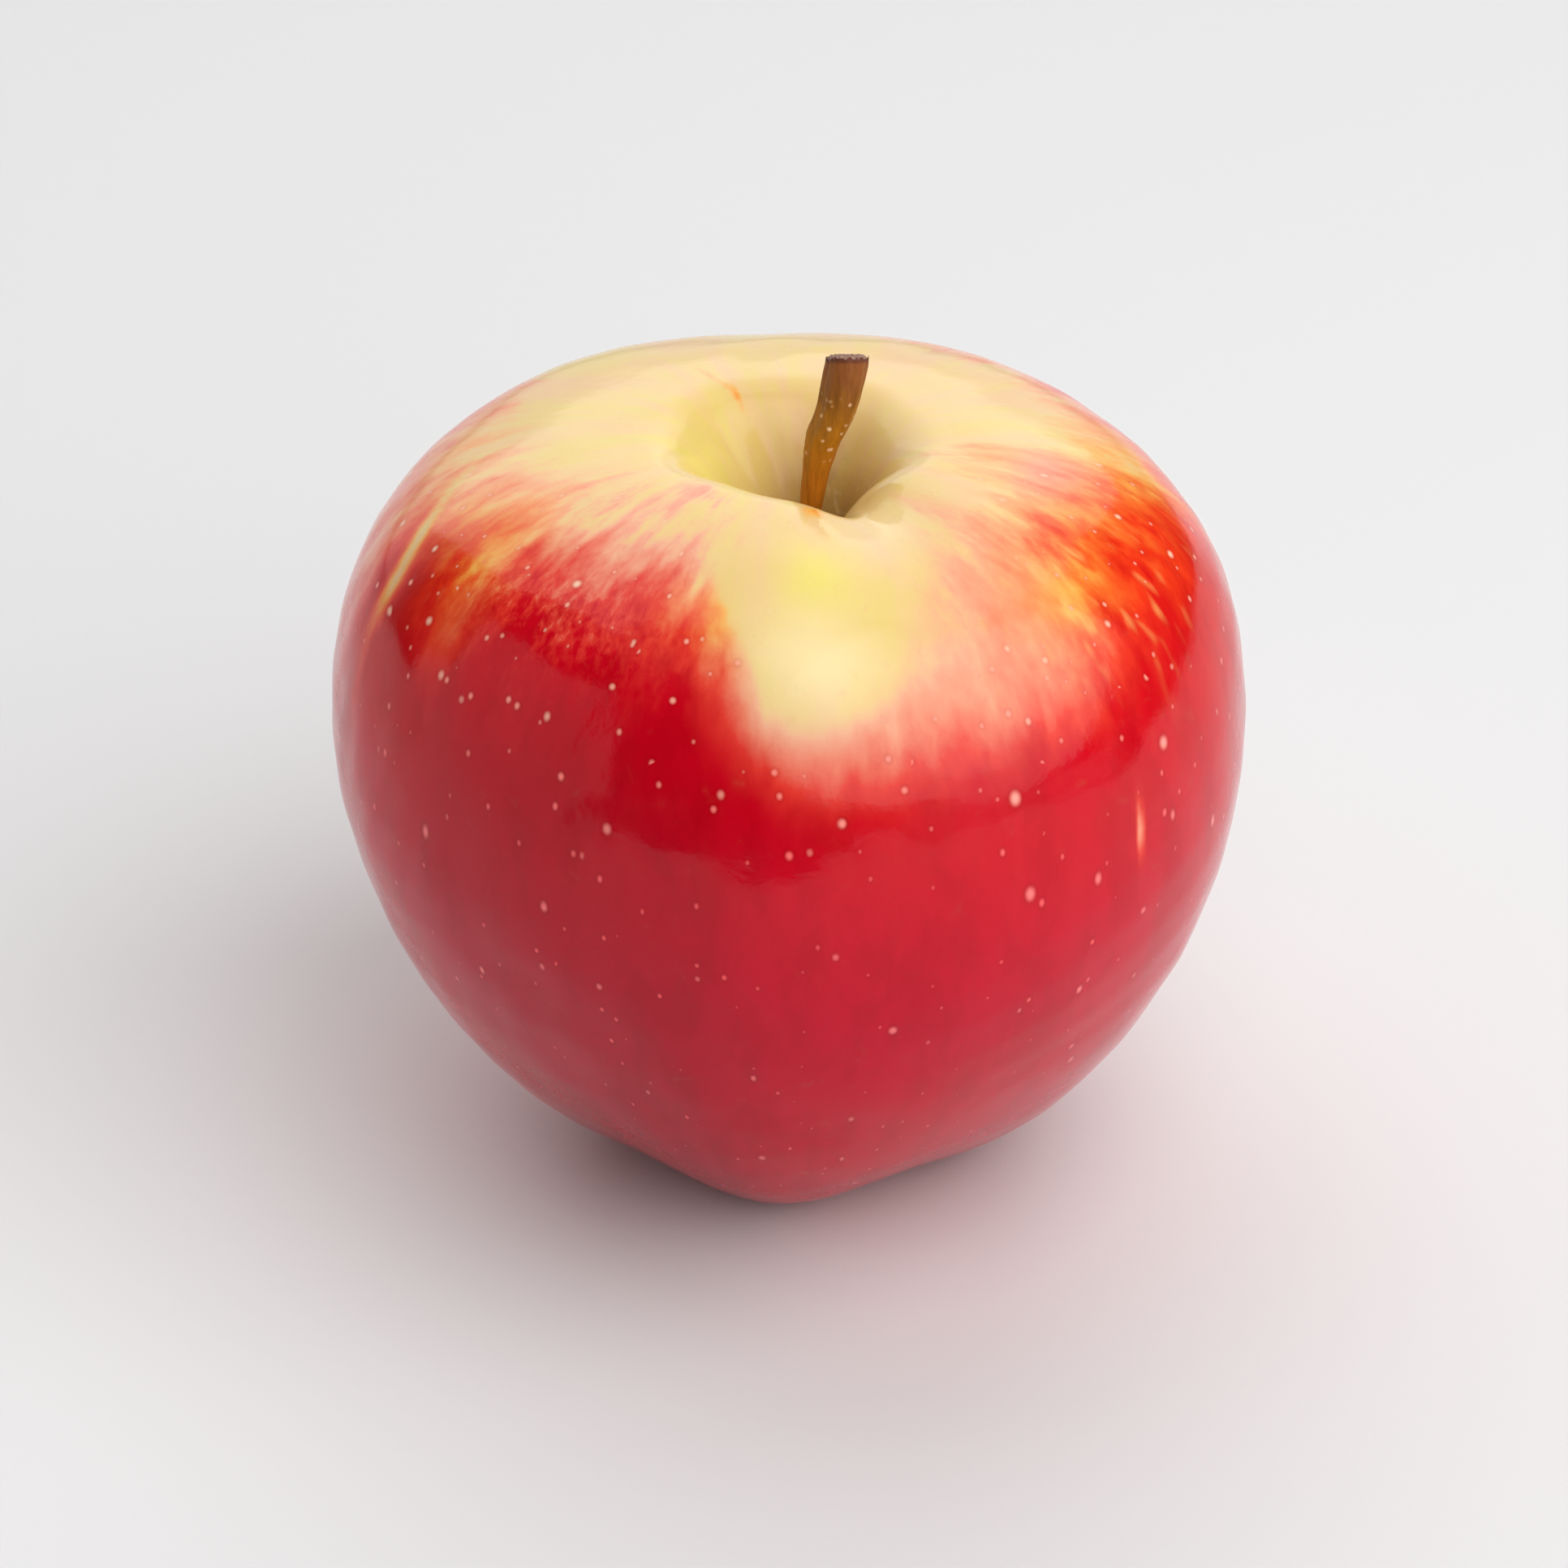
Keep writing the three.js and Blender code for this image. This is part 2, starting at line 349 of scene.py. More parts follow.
# Name, azimuth, elevation, distance, width, height, brightness and shape
LAMPS = [
    ("front_right_umbrella", 47, 43, 0.9, 1.75, 1.4, 1.3, "ELLIPSE"),
    ("umbrella_middle", 50, 44, 0.88, 1.1, 0.9, 0.7, "ELLIPSE"),
    ("back_box", -172, 50, 0.9, 1.3, 1.1, 1.0, "RECTANGLE"),
    ("left_fill", -80, 5, 0.9, 0.9, 0.8, 0.8, "RECTANGLE"),
]
lamps = {row[0]: soft_box(*row) for row in LAMPS}
lamps["left_fill"].visible_glossy = False
print("lamps:", {name: round(lamp.data.energy, 1) for name, lamp in lamps.items()})

# %% Left window
WINDOW_AZIMUTH, WINDOW_ELEVATION, WINDOW_DISTANCE = -77.5, 15, 0.9
WINDOW_FOOT, WINDOW_HEAD, WINDOW_HEIGHT = 0.93, 0.44, 0.7
WINDOW_BRIGHTNESS = 0.7
WHITE = (1, 1, 1, 1)


def window_corners():
    """Four corners round a place in the studio, wider at the foot than at the head, each moved
    sideways and upwards square to the direction of the fruit."""
    towards_it = direction(WINDOW_AZIMUTH, WINDOW_ELEVATION)
    side = direction(WINDOW_AZIMUTH + 90, 0)
    rise = side.cross(towards_it) * -WINDOW_HEIGHT / 2
    middle = fruit_middle + towards_it * WINDOW_DISTANCE
    foot, head = side * WINDOW_FOOT / 2, side * WINDOW_HEAD / 2
    return [middle - rise - foot, middle - rise + foot, middle + rise + head, middle + rise - head]


window = add_object("left_window", flat_mesh("left_window", window_corners()))
window_glow = bpy.data.materials.new("window_glow")
window_glow.use_nodes = True
tree = window_glow.node_tree
tree.nodes.clear()
glow = put(tree, "ShaderNodeEmission", {"Color": WHITE, "Strength": WINDOW_BRIGHTNESS})
put(tree, "ShaderNodeOutputMaterial", {"Surface": glow.outputs[0]})
window.data.materials.append(window_glow)
window.visible_camera = False
print("window, m:", WINDOW_HEIGHT, "high,", WINDOW_FOOT, "wide at the foot and", WINDOW_HEAD, "at the head")

# %% [markdown]
# ## The fruit's shape
#
# An apple is nearly a turned solid, so it starts as one: a profile that runs from the calyx
# basin, out over the crowns that it stands on, up the flank, over the shoulder and down into
# the stalk cavity, carried round a full turn. It could be sculpted, but then nothing would
# know where the growth lines run. Here every later pattern can use the same two numbers: the
# turn round the core and the station along the profile.

# %% Fruit profile, in millimetres
EQUATOR_RADIUS = 38
EQUATOR_HEIGHT = 38.7
SHOULDER_RADIUS = 12.2
SHOULDER_HEIGHT = 64.5
BASE_RADIUS = 11
BASIN_FLOOR = 8
BASIN_FLATNESS, BASIN_STEEPNESS = 0.45, 0.5
CAVITY_FLOOR = 46
SOCKET_RADIUS = 1.9
SOCKET_DEPTH, SOCKET_ROUNDING, SOCKET_FLATNESS = 0.6, 0.1, 0.6
BASE_FULLNESS = 9.6
FLANK_FULLNESS = 16.5
UPPER_FLANK_FULLNESS = 22.4
SHOULDER_FULLNESS = 11.5
CAVITY_LIP = 6
CAVITY_FUNNEL = (3.1, 53)
STRETCH_RINGS = (22, 62, 58, 46, 6)


def ease(value, start, end):
    """0 before start, 1 after end, and between them a cubic that is level at both ends."""
    share = np.clip((value - start) / (end - start), 0, 1)
    return share * share * (3 - 2 * share)


def bezier(corners, share):
    """A cubic Bezier: four corners weighted by (1-t)^3, 3(1-t)^2 t, 3(1-t) t^2 and t^3."""
    far = share[:, None]
    near = 1 - far
    first, second, third, fourth = (np.array(corner, float) for corner in corners)
    return near**3 * first + 3 * near**2 * far * second + 3 * near * far**2 * third + far**3 * fourth


def fruit_profile():
    """Radius, height and station of each ring. Station -1 is the middle of the basin, 0 the
    base crowns, 1 the equator, 2 the shoulder's crest, 3 the cavity's foot and 4 its middle. A
    cubic Bezier runs from each of these places to the next."""
    basin = (0, BASIN_FLOOR)
    base = (BASE_RADIUS, 0)
    equator = (EQUATOR_RADIUS, EQUATOR_HEIGHT)
    shoulder = (SHOULDER_RADIUS, SHOULDER_HEIGHT)
    socket = (SOCKET_RADIUS, CAVITY_FLOOR + SOCKET_DEPTH)
    floor = (0, CAVITY_FLOOR)
    handles = [
        ((BASE_RADIUS * BASIN_FLATNESS, BASIN_FLOOR), (BASE_RADIUS * BASIN_STEEPNESS, 0)),
        ((BASE_RADIUS + BASE_FULLNESS, 0), (EQUATOR_RADIUS, EQUATOR_HEIGHT - FLANK_FULLNESS)),
        (
            (EQUATOR_RADIUS, EQUATOR_HEIGHT + UPPER_FLANK_FULLNESS),
            (SHOULDER_RADIUS + SHOULDER_FULLNESS, SHOULDER_HEIGHT),
        ),
        ((SHOULDER_RADIUS - CAVITY_LIP, SHOULDER_HEIGHT), CAVITY_FUNNEL),
        (
            (SOCKET_RADIUS - SOCKET_ROUNDING, CAVITY_FLOOR + SOCKET_ROUNDING),
            (SOCKET_RADIUS * SOCKET_FLATNESS, CAVITY_FLOOR),
        ),
    ]
    places = [basin, base, equator, shoulder, socket, floor]
    points, stations = [], []
    for index, (rings, (leaving, arriving)) in enumerate(zip(STRETCH_RINGS, handles)):
        share = np.linspace(0, 1, rings, endpoint=False)
        points.append(bezier((places[index], leaving, arriving, places[index + 1]), share))
        stations.append(index - 1 + share)
    points.append(np.array([floor], float))
    stations.append(np.array([len(handles) - 1.0]))
    return np.vstack(points), np.concatenate(stations)


print("rings on the profile:", len(fruit_profile()[0]))

# %% [markdown]
# ## What turning can't give
#
# Real apples aren't round. Cosine waves round the girth give five lobes, strongest at the base
# and softer at the shoulder, and a slightly oval and three-sided middle. The shoulder is a
# little lower on one side, and a soft trough is the furrow that runs out of the cavity. On top
# lies the unevenness of anything that grows: slow waves of up to a tenth of a millimetre, and a
# fine ripple that breaks up the reflections. Sculpting could give all this, but here each
# feature is one named size and one turn.

# %% Waves, in millimetres and degrees
LOBES = 5
BASE_LOBE, BASE_LOBE_TURN = 0.06, -4.5
TOP_LOBE, TOP_LOBE_TURN = 0.03, 4
OVAL, OVAL_TURN = 0.011, 35
THREE_SIDED, THREE_SIDED_TURN = 0.01, 20
SHOULDER_LEAN = -0.6
FURROW_DEPTH, FURROW_TURN, FURROW_WIDTH = 2.3, 27, 17
CROWN_RISE = 1.2
FOOT_CUT = 0.3
# Stations: where the skin turns into the cavity's wall, and how far each wave reaches
CAVITY_START, CAVITY_SURE = 2.2, 2.9
MIDDLE_REACH, CROWN_REACH = 0.8, 0.25
FURROW_STATION, FURROW_REACH = 2.15, 0.35
# Slow waves: crests round the girth, phase along the profile, start and size
SLOW_WAVES = [
    (2, 3.1, 0.4, 0.10),
    (3, 5.3, 2.1, 0.08),
    (5, 4.2, 4.4, 0.06),
    (7, 6.7, 1.3, 0.04),
    (11, 8.9, 5.2, 0.025),
    (13, 12.1, 3.3, 0.02),
]
SKIN_RELIEF = 0.03
RIPPLE_LENGTH = (3.5, 11)
print("largest slow wave, mm:", max(size for *_, size in SLOW_WAVES), "ripple, mm:", SKIN_RELIEF)

# %% Waves and unevenness


def wave(turn, crests, crest_turn):
    """A cosine with so many crests round the fruit, one of them at the given turn."""
    return np.cos(crests * (turn - math.radians(crest_turn)))


def turn_from(turn, centre):
    """How far a turn lies from a centre given in degrees, from -180 to 180 degrees."""
    return (np.degrees(turn) - centre + 180) % 360 - 180


def unit(vectors):
    """Each vector divided by its own length."""
    return vectors / np.linalg.norm(vectors, axis=-1, keepdims=True)


def relief(points, size, shortest, longest, seed, waves=24):
    """A grown surface's unevenness: the sum of many sine waves, each with its own direction,
    start and wavelength, scaled so that its usual height is the given size."""
    draw = np.random.default_rng(seed)
    heading = unit(draw.normal(size=(waves, 3)))
    length = draw.uniform(shortest, longest, waves)
    start = draw.uniform(0, 2 * np.pi, waves)
    phase = points @ (2 * np.pi * heading / length[:, None]).T + start
    return size * np.sin(phase).sum(-1) / math.sqrt(waves / 2)


def undulation(turn, station):
    """The slight unevenness of a grown surface: the sum of the slow waves."""
    heights = [
        size * np.sin(around * turn + along * station + start) for around, along, start, size in SLOW_WAVES
    ]
    return sum(heights)


# %% Fruit surface
FRUIT_TURNS = 480


def fruit_surface(turns):
    """The turned profile, swollen by the lobe waves, lifted between the crowns, lowered in the
    furrow, leaned, and cut flat where it rests. Rings run along the first axis."""
    points, stations = fruit_profile()
    turn = full_turn(turns)[None, :]
    radius, height, station = points[:, :1], points[:, 1:], stations[:, None]
    lower = 1 - ease(station, 0, 1)
    outside = 1 - ease(station, CAVITY_START, CAVITY_SURE)
    upper = ease(station, 1, 1.9) * outside
    middle = np.exp(-(((station - 1) / MIDDLE_REACH) ** 2))
    base_wave = wave(turn, LOBES, BASE_LOBE_TURN)
    swell = (
        1
        + BASE_LOBE * lower * base_wave
        + TOP_LOBE * upper * wave(turn, LOBES, TOP_LOBE_TURN)
        + OVAL * middle * wave(turn, 2, OVAL_TURN)
        + THREE_SIDED * middle * wave(turn, 3, THREE_SIDED_TURN)
    )
    girth = radius * swell + undulation(turn, station) * ease(station, 0.15, 0.5) * outside
    x = girth * np.sin(turn)
    y = -girth * np.cos(turn)
    crowns = np.exp(-((station / CROWN_REACH) ** 2))
    from_furrow = turn_from(turn, FURROW_TURN) / FURROW_WIDTH
    furrow = np.exp(-(from_furrow**2)) * np.exp(-(((station - FURROW_STATION) / FURROW_REACH) ** 2))
    z = height + CROWN_RISE * crowns * (1 - base_wave) / 2 - FURROW_DEPTH * furrow
    z = z + math.tan(math.radians(SHOULDER_LEAN)) * x * ease(station, 0, 1) * outside
    points = np.stack([x, y, z - FOOT_CUT], -1)
    ripple = relief(points, SKIN_RELIEF, *RIPPLE_LENGTH, seed=4) * ease(station, 0.1, 0.4) * outside
    points = points + unit(points - (0, 0, EQUATOR_HEIGHT)) * ripple[..., None]
    points[..., 2] = np.maximum(points[..., 2], 0)
    return points, turn, station


surface, turn, station = fruit_surface(FRUIT_TURNS)
print("fruit surface, mm:", np.round(np.ptp(surface, axis=(0, 1)), 2))

# %% [markdown]
# ## From a grid to a mesh
#
# A grid of points becomes a mesh when faces join them. The first and the last ring shrink to a
# point each and the last column joins the first, so no seam or pole stays open. A sphere could
# be pushed into shape instead, but here every column of faces is one line of growth, which
# keeps the map and the streaks straight. What the patterns need is kept in the mesh as
# attributes, one number or direction for each point.

# %% Meshes from grids


def one_surface(rings, first_point, map_start, map_width):
    """Points, faces and map of one closed surface: the first and last ring shrink to a point
    each, four-sided faces join the others, and the last column joins the first. The map unrolls
    it: turn across, rings upwards."""
    count, turns = rings.shape[:2]
    points = np.vstack([rings[0, :1], rings[1:-1].reshape(-1, 3), rings[-1, :1]])
    column = np.arange(turns)
    after = (column + 1) % turns
    row = 1 + np.arange(count - 3)[:, None] * turns
    quads = np.stack([row + column, row + after, row + turns + after, row + turns + column], -1)
    top = 1 + (count - 3) * turns
    first_fan = np.stack([np.zeros_like(column), 1 + after, 1 + column], -1)
    last_fan = np.stack([np.full_like(column, len(points) - 1), top + column, top + after], -1)
    faces = [*quads.reshape(-1, 4) + first_point, *first_fan + first_point, *last_fan + first_point]
    left = np.broadcast_to(map_start + column / turns * map_width, (count - 3, turns))
    right = left + map_width / turns
    middle = (left[0] + right[0]) / 2
    up = np.arange(count) / (count - 1)
    below = np.broadcast_to(up[1:-2, None], left.shape)
    above = np.broadcast_to(up[2:-1, None], left.shape)
    low, high = np.full(turns, up[1]), np.full(turns, up[-2])
    corners = [
        [left, below, right, below, right, above, left, above],
        [middle, np.zeros(turns), right[0], low, left[0], low],
        [middle, np.ones(turns), left[0], high, right[0], high],
    ]
    return points, faces, [np.stack(group, -1).ravel() for group in corners]


def closed_mesh(name, *surfaces):
    """A mesh of one or more closed surfaces. Each takes its own strip of the map OFBake."""
    points, faces, corners = [], [], []
    for index, rings in enumerate(surfaces):
        start = sum(len(part) for part in points)
        made = one_surface(rings, start, index / len(surfaces), 1 / len(surfaces))
        points.append(made[0])
        faces.extend(face.tolist() for face in made[1])
        corners.extend(made[2])
    mesh = bpy.data.meshes.new(name)
    mesh.from_pydata(np.vstack(points).tolist(), [], faces)
    mesh.uv_layers.new(name="OFBake").data.foreach_set("uv", np.concatenate(corners))
    mesh.shade_smooth()
    return mesh


# %% Attributes and pieces


def add_attribute(mesh, name, *surfaces):
    """Keeps one number or one direction for each point, in the order of closed_mesh."""
    parts = []
    for rings in surfaces:
        parts += [rings[0, :1], rings[1:-1].reshape(-1, *rings.shape[2:]), rings[-1, :1]]
    values = np.concatenate(parts)
    kind, field = ("FLOAT_VECTOR", "vector") if values.ndim == 2 else ("FLOAT", "value")
    mesh.attributes.new(name, kind, "POINT").data.foreach_set(field, values.ravel())


def new_piece(name, mesh, material):
    """Links a mesh as a piece that rides on the one body and takes its finish from the slot."""
    piece = add_object(name, mesh)
    piece.data.materials.append(material)
    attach(piece, "root")
    return piece


# %% Fruit mesh
surface_middle = (surface.min((0, 1)) + surface.max((0, 1))) / 2
core = np.array([fruit_middle.x, fruit_middle.y, fruit_low.z]) - surface_middle * (MM, MM, 0)
fruit_mesh = closed_mesh("apple_skin", surface * MM + core)
print("core at, mm:", np.round(core / MM, 2), "fruit faces:", len(fruit_mesh.polygons))

# %% [markdown]
# ## Where the skin is red
#
# An apple's skin is a yellow ground with red over it. The red comes where the sun reached: it
# covers the flanks, thins out over the shoulder in fine streaks, and leaves pale whatever a
# leaf or the branch shaded, such as the patch in front. A painted map could be wrapped round
# it, but it would blur close by and show its seam. So a few soft fields say how much red is
# at each turn and station, and the streaks that break their edges come from noise in the
# material. One pale streak bends up over the left shoulder, where a twig rubbed the skin.

# %% Soft fields


def soft_round(turn, turns, values):
    """Values given at a few turns, carried round the fruit and softened by a short average."""
    degrees = np.degrees(turn.ravel())
    found = np.interp(degrees, turns, values, period=360)
    reach = len(found) // 120
    kernel = np.hanning(2 * reach + 3)[1:-1]
    padded = np.concatenate([found[-reach:], found, found[:reach]])
    return np.convolve(padded, kernel / kernel.sum(), "valid")[None, :]


def spot(turn, station, centre_turn, centre_station, half_turn, half_station):
    """A soft oval field: 1 at its centre, falling off as exp(-distance squared)."""
    across = turn_from(turn, centre_turn) / half_turn
    return np.exp(-(across**2) - ((station - centre_station) / half_station) ** 2)


def band(value, start, end, soft_start, soft_end):
    """1 between start and end, with an eased rise and fall of the given half widths."""
    rise = ease(value, start - soft_start, start + soft_start)
    return rise * (1 - ease(value, end - soft_end, end + soft_end))


def spots(turn, station, rows):
    """The sum of soft ovals, each a row of strength, turn, station, half turn and half height."""
    return sum(strength * spot(turn, station, *oval) for strength, *oval in rows)


around = turn_from(turn, 0)
half_shaded = band(around, 10, 45, 4, 9) * ease(station, 1.2, 1.38)
print("share of the skin in half shade:", round(float(half_shaded.mean()), 3))

# %% How much red
# Turn, then the station where the red has half faded, and how far its fading reaches each way
RED_EDGE = [
    (-180, 1.50, 0.26),
    (-140, 1.42, 0.26),
    (-105, 1.54, 0.30),
    (-85, 1.60, 0.30),
    (-74, 1.60, 0.26),
    (-64, 1.65, 0.27),
    (-50, 1.65, 0.28),
    (-32, 1.60, 0.27),
    (-24, 1.67, 0.23),
    (-15, 1.56, 0.27),
    (-11.5, 1.53, 0.25),
    (-8.5, 1.42, 0.20),
    (-4, 1.32, 0.17),
    (1, 1.28, 0.13),
    (7, 1.29, 0.14),
    (13, 1.33, 0.20),
    (19, 1.42, 0.28),
    (27, 1.62, 0.36),
    (40, 1.72, 0.42),
    (52, 1.60, 0.46),
    (61, 1.70, 0.42),
    (75, 1.72, 0.42),
    (85, 1.66, 0.42),
    (95, 1.50, 0.36),
    (115, 1.52, 0.28),
    (150, 1.58, 0.26),
]
STREAK_TURN, STREAK_START, STREAK_END, STREAK_BEND = -72.3, 1.23, 1.68, 300
# Soft ovals: strength, turn, station, half turn and half height
FADED = [(0.46, -62, 1.54, 8, 0.1), (0.18, -56, 1.36, 8, 0.08)]
PINK_TOP = [(0.16, -42, 1.88, 34, 0.15), (0.1, 30, 1.95, 20, 0.12)]
MARKS = [
    (0.42, 7, 2.0, 3.4, 0.04),
    (-0.6, 46, 1.07, 0.55, 0.04),
    (-0.1, -34, 0.86, 0.7, 0.05),
    (0.3, -149, 1.98, 1.6, 0.1),
    (0.38, -152, 2.15, 2.2, 0.09),
    (-0.1, 30, 1.46, 8, 0.1),
    (-0.08, -48, 1.44, 6, 0.06),
    (0.1, 14, 1.37, 4, 0.05),
    (-0.13, 52, 1.51, 6, 0.08),
    (-0.1, 70, 1.48, 16, 0.11),
    (-0.16, 91, 1.51, 8, 0.1),
    (0.2, 76, 2.08, 4, 0.12),
    (0.18, 85, 1.94, 5, 0.06),
    (0.16, -33, 1.97, 9, 0.04),
]

edge_turns, edge_stations, edge_reach = zip(*RED_EDGE)
red_limit = soft_round(turn, edge_turns, edge_stations)
red_reach = soft_round(turn, edge_turns, edge_reach)
streak_climb = np.clip(station, STREAK_START, STREAK_END) - STREAK_START
streak_turn = STREAK_TURN - STREAK_BEND * streak_climb**3
blush = 1 - ease(station, red_limit - red_reach, red_limit + red_reach)
blush = blush * (1 - 0.5 * half_shaded)
blush = blush * (1 - 0.85 * spot(turn, station, streak_turn, 1.40, 1.9, 0.22))
blush = blush * (1 - 0.4 * band(around, -110, -80, 8, 4) * ease(station, 1.0, 1.3))
for strength, *oval in FADED:
    blush = blush * (1 - strength * spot(turn, station, *oval))
blush = (blush + spots(turn, station, PINK_TOP)) * ease(station, -0.45, 0.1)
for change, *oval in MARKS:
    blush = np.clip(blush + change * spot(turn, station, *oval), 0, 1)
print("share of the skin that is red:", round(float(blush[20:-60].mean()), 2))

# %% [markdown]
# ## The other hues
#
# Ten fields and one direction are kept in the mesh:
#
# - blush: how much red there is
# - warm: where the red turns orange
# - green and cream: what the bare ground turns into
# - russet: the corky bronze in the cavity and in the basin
# - painted shade on the lower left flank, a deeper and bluer red
# - painted shade in the cavity, which dulls its wall to olive, more on the right
# - feather: how far noise may break the red's edge
# - veined and flecked: fine mottling, and short yellow strokes
# - growth: the direction round the core, and the station, on which noise is read

# %% The other hues
WARM_SPOTS = [
    (1.5, 80, 1.58, 28, 0.38),
    (1.1, -64, 1.5, 13, 0.24),
    (0.9, -12, 1.58, 5, 0.12),
    (0.4, -21, 1.57, 5, 0.1),
    (0.5, 50, 1.5, 11, 0.12),
    (1.0, 7, 2.0, 6, 0.1),
    (1.0, -158, 2.1, 16, 0.2),
    (0.7, -100, 1.5, 22, 0.25),
    (0.5, 170, 1.4, 50, 0.4),
]
CREAM_SPOTS = [(1.0, 2, 1.5, 9, 0.11), (0.6, 33, 1.94, 12, 0.08)]
FLECKED_SPOTS = [(1.0, 54, 1.5, 20, 0.15), (0.25, -62, 1.48, 8, 0.1)]

rosy = spot(turn, station, 77, 1.78, 16, 0.1)
warm = spots(turn, station, WARM_SPOTS) + 0.05 * half_shaded
warm = np.clip(warm + 0.6 * spot(turn, station, streak_turn, 1.3, 4, 0.2), 0, 1) * (1 - 0.9 * rosy)
basin_skin = 1 - ease(station, -0.6, 0.05)
green = np.clip(0.8 * spot(turn, station, 5, 1.72, 8, 0.13) + 0.7 * basin_skin, 0, 1)
green = green + 0.8 * spot(turn, station, -80, 2.45, 60, 0.35)
left_side = (1 + np.cos(np.radians(turn_from(turn, -80)))) / 2
russet = ease(station, 2.2 + 0.35 * left_side, 2.8 + 0.15 * left_side)
russet = russet + 0.6 * (1 - ease(station, -0.95, -0.6))
# Painted shade: on the lower left flank the red is darkened to a deeper, bluer red.
left_flank_shade = 0.6 * spot(turn, station, -68, 1.36, 6, 0.2)
left_flank_shade = left_flank_shade + 0.6 * band(around, -58, -8, 12, 9) * (1 - ease(station, 1.1, 1.45))
to_right = np.sin(turn)
# Painted shade: the cavity's wall is darkened to a duller olive, more on the right side.
cavity_shade = ease(station, 2.2 - 0.06 * to_right, 2.8 - 0.2 * to_right) * (0.68 + 0.32 * to_right)
calm = np.maximum(spot(turn, station, 1, 1.36, 14, 0.3), 0.85 * np.maximum(half_shaded, rosy))
skin_fields = {
    "blush": blush,
    "warm": warm,
    "green": green,
    "cream": spots(turn, station, CREAM_SPOTS),
    "russet": russet,
    "left_flank_shade": left_flank_shade,
    "feather": 1 - 0.6 * calm,
    "veined": 0.85 * spot(turn, station, -40, 1.48, 20, 0.1),
    "flecked": spots(turn, station, FLECKED_SPOTS),
    "cavity_shade": cavity_shade,
    "growth": np.stack(np.broadcast_arrays(to_right, -np.cos(turn), station), -1),
}
for name, field in skin_fields.items():
    add_attribute(fruit_mesh, name, np.broadcast_to(field, (*surface.shape[:2], *field.shape[2:])))
print("fields on the skin:", list(skin_fields))

# %% [markdown]
# ## Patterns that follow the growth
#
# Streaks run from the stalk to the calyx. Noise on plain space would cut across them, so it is
# read on the growth attribute: quick round the girth and slow along it. A multiplied vector
# sets how quick.

# %% Pattern helpers


def noise(vector, scale, detail=3.0, roughness=0.55, distortion=0.0):
    """Fractal noise from 0 to 1 on a vector."""
    inputs = {"Vector": vector, "Scale": scale, "Detail": detail}
    inputs |= {"Roughness": roughness, "Distortion": distortion}
    return put(vector.id_data, "ShaderNodeTexNoise", inputs).outputs["Fac"]


def vector_sum(operation, *vectors):
    """One sum on vectors, at least one of which is a socket."""
    inputs = dict(enumerate(vectors))
    return put(tree_of(*vectors), "ShaderNodeVectorMath", inputs, operation=operation)


def stretched(vector, x, y, z):
    """The vector with each side scaled, which stretches a pattern along the small ones."""
    return vector_sum("MULTIPLY", vector, (x, y, z)).outputs[0]


def grown_noise(growth_line, girth, length, detail, roughness, distortion):
    """Noise on the growth line, as quick round the girth and along the profile as given."""
    vector = stretched(growth_line, girth, girth, length)
    return noise(vector, 1.0, detail, roughness, distortion)


def attribute(tree, name, output="Fac"):
    """What the mesh keeps under that name."""
    return put(tree, "ShaderNodeAttribute", attribute_name=name).outputs[output]


def bump(height, distance):
    """A bump of so many metres for the shader's normal."""
    inputs = {"Height": height, "Strength": 1.0, "Distance": distance}
    made = put(height.id_data, "ShaderNodeBump", inputs)
    return made.outputs["Normal"]


# %% [markdown]
# ## Lenticels
#
# The pale breathing pores are the points of two Voronoi patterns, one of small and one of large
# dots. In plain space the skin would pass beside most points, and few dots would be whole. So
# the skin is rolled out round a cylinder, and only the gap along the cylinder counts, which
# keeps each dot round. Pores swell with the skin: they are smaller below the equator, and paler
# on the shoulder.

# %% Lenticels
PORE_DRUM_RADIUS, PORE_DRUM_RISE = 34 * MM, 38 * MM
PORE_HALO = (0.88, 0.78, 0.78, 1)
# Spacing and size in millimetres, then the colour below and on the shoulder
PORES = [
    (4.3, 0.29, (0.98, 0.11, 0.12, 1), (0.94, 0.42, 0.30, 1)),
    (8.5, 0.49, (1.0, 0.21, 0.21, 1), (0.95, 0.68, 0.46, 1)),
]
print("pore spacing and size, mm:", [row[:2] for row in PORES])


def pores(growth_line, spacing, size, ripeness):
    """Round dots and the darker halo round each, both from 0 to 1. The gap to the nearest
    Voronoi point, without its part along the drum's radius, is measured against a dot whose
    size comes from the cell's colour and from how far that part of the skin has swollen."""
    unrolled = stretched(growth_line, PORE_DRUM_RADIUS, PORE_DRUM_RADIUS, PORE_DRUM_RISE)
    cell = {"Vector": unrolled, "Scale": 1 / spacing, "Randomness": 0.95}
    cells = put(growth_line.id_data, "ShaderNodeTexVoronoi", cell)
    gap = vector_sum("SUBTRACT", unrolled, cells.outputs["Position"]).outputs[0]
    outward = stretched(growth_line, 1, 1, 0)
    depth = vector_sum("DOT_PRODUCT", gap, outward).outputs["Value"]
    across = vector_sum("MULTIPLY_ADD", outward, times(depth, -1), gap).outputs[0]
    away = vector_sum("LENGTH", across).outputs["Value"]
    chance = put(cells.id_data, "ShaderNodeSeparateColor", {0: cells.outputs["Color"]}).outputs[0]
    shrink = plus(times(chance, 0.55), 0.45)
    shrink = times(shrink, ripeness)
    away = calc("DIVIDE", away, times(shrink, size))
    fade = plus(times(chance, 0.6), 0.4)
    dot = times(rescale(away, 1.3, 0.2), fade)
    halo = times(rescale(away, 2.2, 0.9), fade)
    return dot, halo


